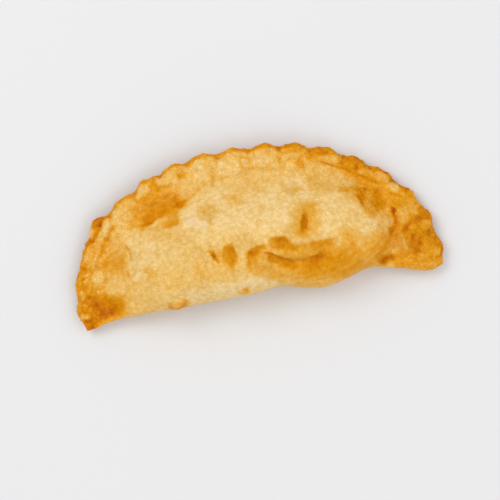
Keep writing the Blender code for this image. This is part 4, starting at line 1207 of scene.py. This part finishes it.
def fried_dough():
    """Golden fried dough: mottled and specked, browner where the skin says so, with a film of oil."""
    material, tree, shader = plain_material("fried_dough")
    node = partial(place, tree)
    plus, minus, times, over = arithmetic(tree)
    where = node("ShaderNodeTexCoord").outputs["Object"]

    def attribute(name):
        return node("ShaderNodeAttribute", attribute_name=name).outputs["Fac"]

    def noise(size, detail):
        """Noise about 0 whose blotches are that many millimetres across."""
        inputs = {"Vector": where, "Scale": 1.0 / (size * MM), "Detail": detail, "Roughness": 0.6}
        return minus(node("ShaderNodeTexNoise", inputs).outputs[0], 0.5)

    base = attribute("browned")
    mottle = times(attribute("bubble"), -0.07)
    mottle = minus(mottle, times(attribute("pebble"), 0.28))
    for size, detail, strength in MOTTLES:
        mottle = plus(mottle, times(noise(size, detail), strength))
    specks = node("ShaderNodeMapRange", {"Value": noise(1.1, 1.0), "From Min": 0.12, "From Max": 0.22})
    mottle = plus(mottle, times(specks.outputs[0], 0.16))
    evenness = minus(1.15, times(base, 0.60))
    brown = plus(base, times(mottle, evenness))

    ramp = node("ShaderNodeValToRGB", {0: over(brown, RAMP_END, clamp=True)})
    stops = ramp.color_ramp.elements
    while len(stops) < len(DOUGH_COLOURS):
        stops.new(0.5)
    for stop, (level, colour) in zip(stops, DOUGH_COLOURS):
        stop.position = level / RAMP_END
        stop.color = linear(colour)
    # The colour is scaled by painted shade: a fine grain, partly real specks and partly the shading of
    # relief too fine for the skin, the pebbles' height, shade between them painted in, and the painted
    # shade that the skin carries.
    shade = times(times(noise(0.8, 2.0), 0.48), attribute("pebbly"))
    shade = plus(shade, times(attribute("pebble"), 0.16))
    shade = plus(shade, minus(1.0, attribute("painted_shade")))
    shaded = node("ShaderNodeVectorMath", {0: ramp.outputs["Color"], "Scale": shade}, operation="SCALE")
    tree.links.new(shaded.outputs[0], shader.inputs["Base Color"])

    oil = times(noise(3.0, 2.0), 0.25)
    dry = minus(0.52, times(brown, 0.14))
    tree.links.new(plus(dry, oil, clamp=True), shader.inputs["Roughness"])

    grain = plus(noise(0.7, 2.0), times(noise(0.3, 1.0), 0.4))
    grain = node("ShaderNodeBump", {"Height": grain, "Strength": 0.5, "Distance": 0.15 * MM})
    tree.links.new(grain.outputs["Normal"], shader.inputs["Normal"])
    shader.inputs["Specular IOR Level"].default_value = 0.07
    shader.inputs["Subsurface Weight"].default_value = 0.06
    shader.inputs["Subsurface Radius"].default_value = (1.0, 0.5, 0.2)
    shader.inputs["Subsurface Scale"].default_value = 1.5 * MM
    return material


dough = fried_dough()
pastry_mesh = fried(skin("raw_pastry"), frying_tree(dough))
pastry_mesh.name = "fried_pastry"
pastry = stand("fried_pastry", pastry_mesh)
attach(pastry, "root")
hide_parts("empanada")


# --- the floor ----------------------------------------------------------------------------------------
# A plain pale tabletop, matt and without any edge in sight.

FLOOR_SIZE = 6.0
FLOOR_COLOUR = (229, 229, 230)


def pale_floor():
    """Matt near-white paint."""
    material, _, shader = plain_material("pale_floor")
    shader.inputs["Base Color"].default_value = linear(FLOOR_COLOUR)
    shader.inputs["Roughness"].default_value = 0.85
    return material


floor_mesh = bpy.data.meshes.new("floor")
bm = bmesh.new()
bmesh.ops.create_grid(bm, x_segments=1, y_segments=1, size=FLOOR_SIZE / 2.0)
bm.to_mesh(floor_mesh)
bm.free()
floor_mesh.materials.append(pale_floor())
floor = stand("floor", floor_mesh)


# --- the light ----------------------------------------------------------------------------------------
# Studio light: a soft box above and behind to the left, weaker ones at the right and in front, and white
# all round. Each soft box: where it stands, how wide it is and its power in watts.

SOFT_BOXES = {
    "key": ((-0.6, 0.65, 1.1), 0.8, 6.5),
    "right": ((1.0, 0.1, 0.9), 1.0, 3.0),
    "front": ((0.1, -1.0, 0.9), 1.2, 3.5),
}
ROOM_LIGHT = 0.66

for name, (place_at, size, power) in SOFT_BOXES.items():
    lamp = bpy.data.lights.new(name, "AREA")
    lamp.size = size
    lamp.energy = power
    box = stand(name, lamp)
    box.location = place_at
    box.rotation_euler = Vector(place_at).to_track_quat("Z", "Y").to_euler()

world = bpy.data.worlds.new("studio")
world.use_nodes = True
world.node_tree.nodes["Background"].inputs["Color"].default_value = (1.0, 1.0, 1.0, 1.0)
world.node_tree.nodes["Background"].inputs["Strength"].default_value = ROOM_LIGHT
bpy.context.scene.world = world
world.cycles_visibility.glossy = False
bpy.context.scene.view_settings.view_transform = "Standard"


# --- the camera ---------------------------------------------------------------------------------------
# It looks straight down, turned so that the fold climbs a little to the right, from far enough away that
# the top is hardly larger than the rim.

VIEW_WIDTH = 0.226
VIEW_TURN = math.radians(-10.433)
VIEW_MIDDLE = (-0.00206, -0.01168)
RIM_LEVEL = 0.008
LENS = 200.0
SENSOR = 36.0

camera = bpy.data.cameras.new("camera")
camera.lens = LENS
camera.sensor_width = SENSOR
viewpoint = stand("camera", camera)
viewpoint.location = (*VIEW_MIDDLE, RIM_LEVEL + VIEW_WIDTH * LENS / SENSOR)
viewpoint.rotation_euler = (0.0, 0.0, VIEW_TURN)
bpy.context.scene.camera = viewpoint
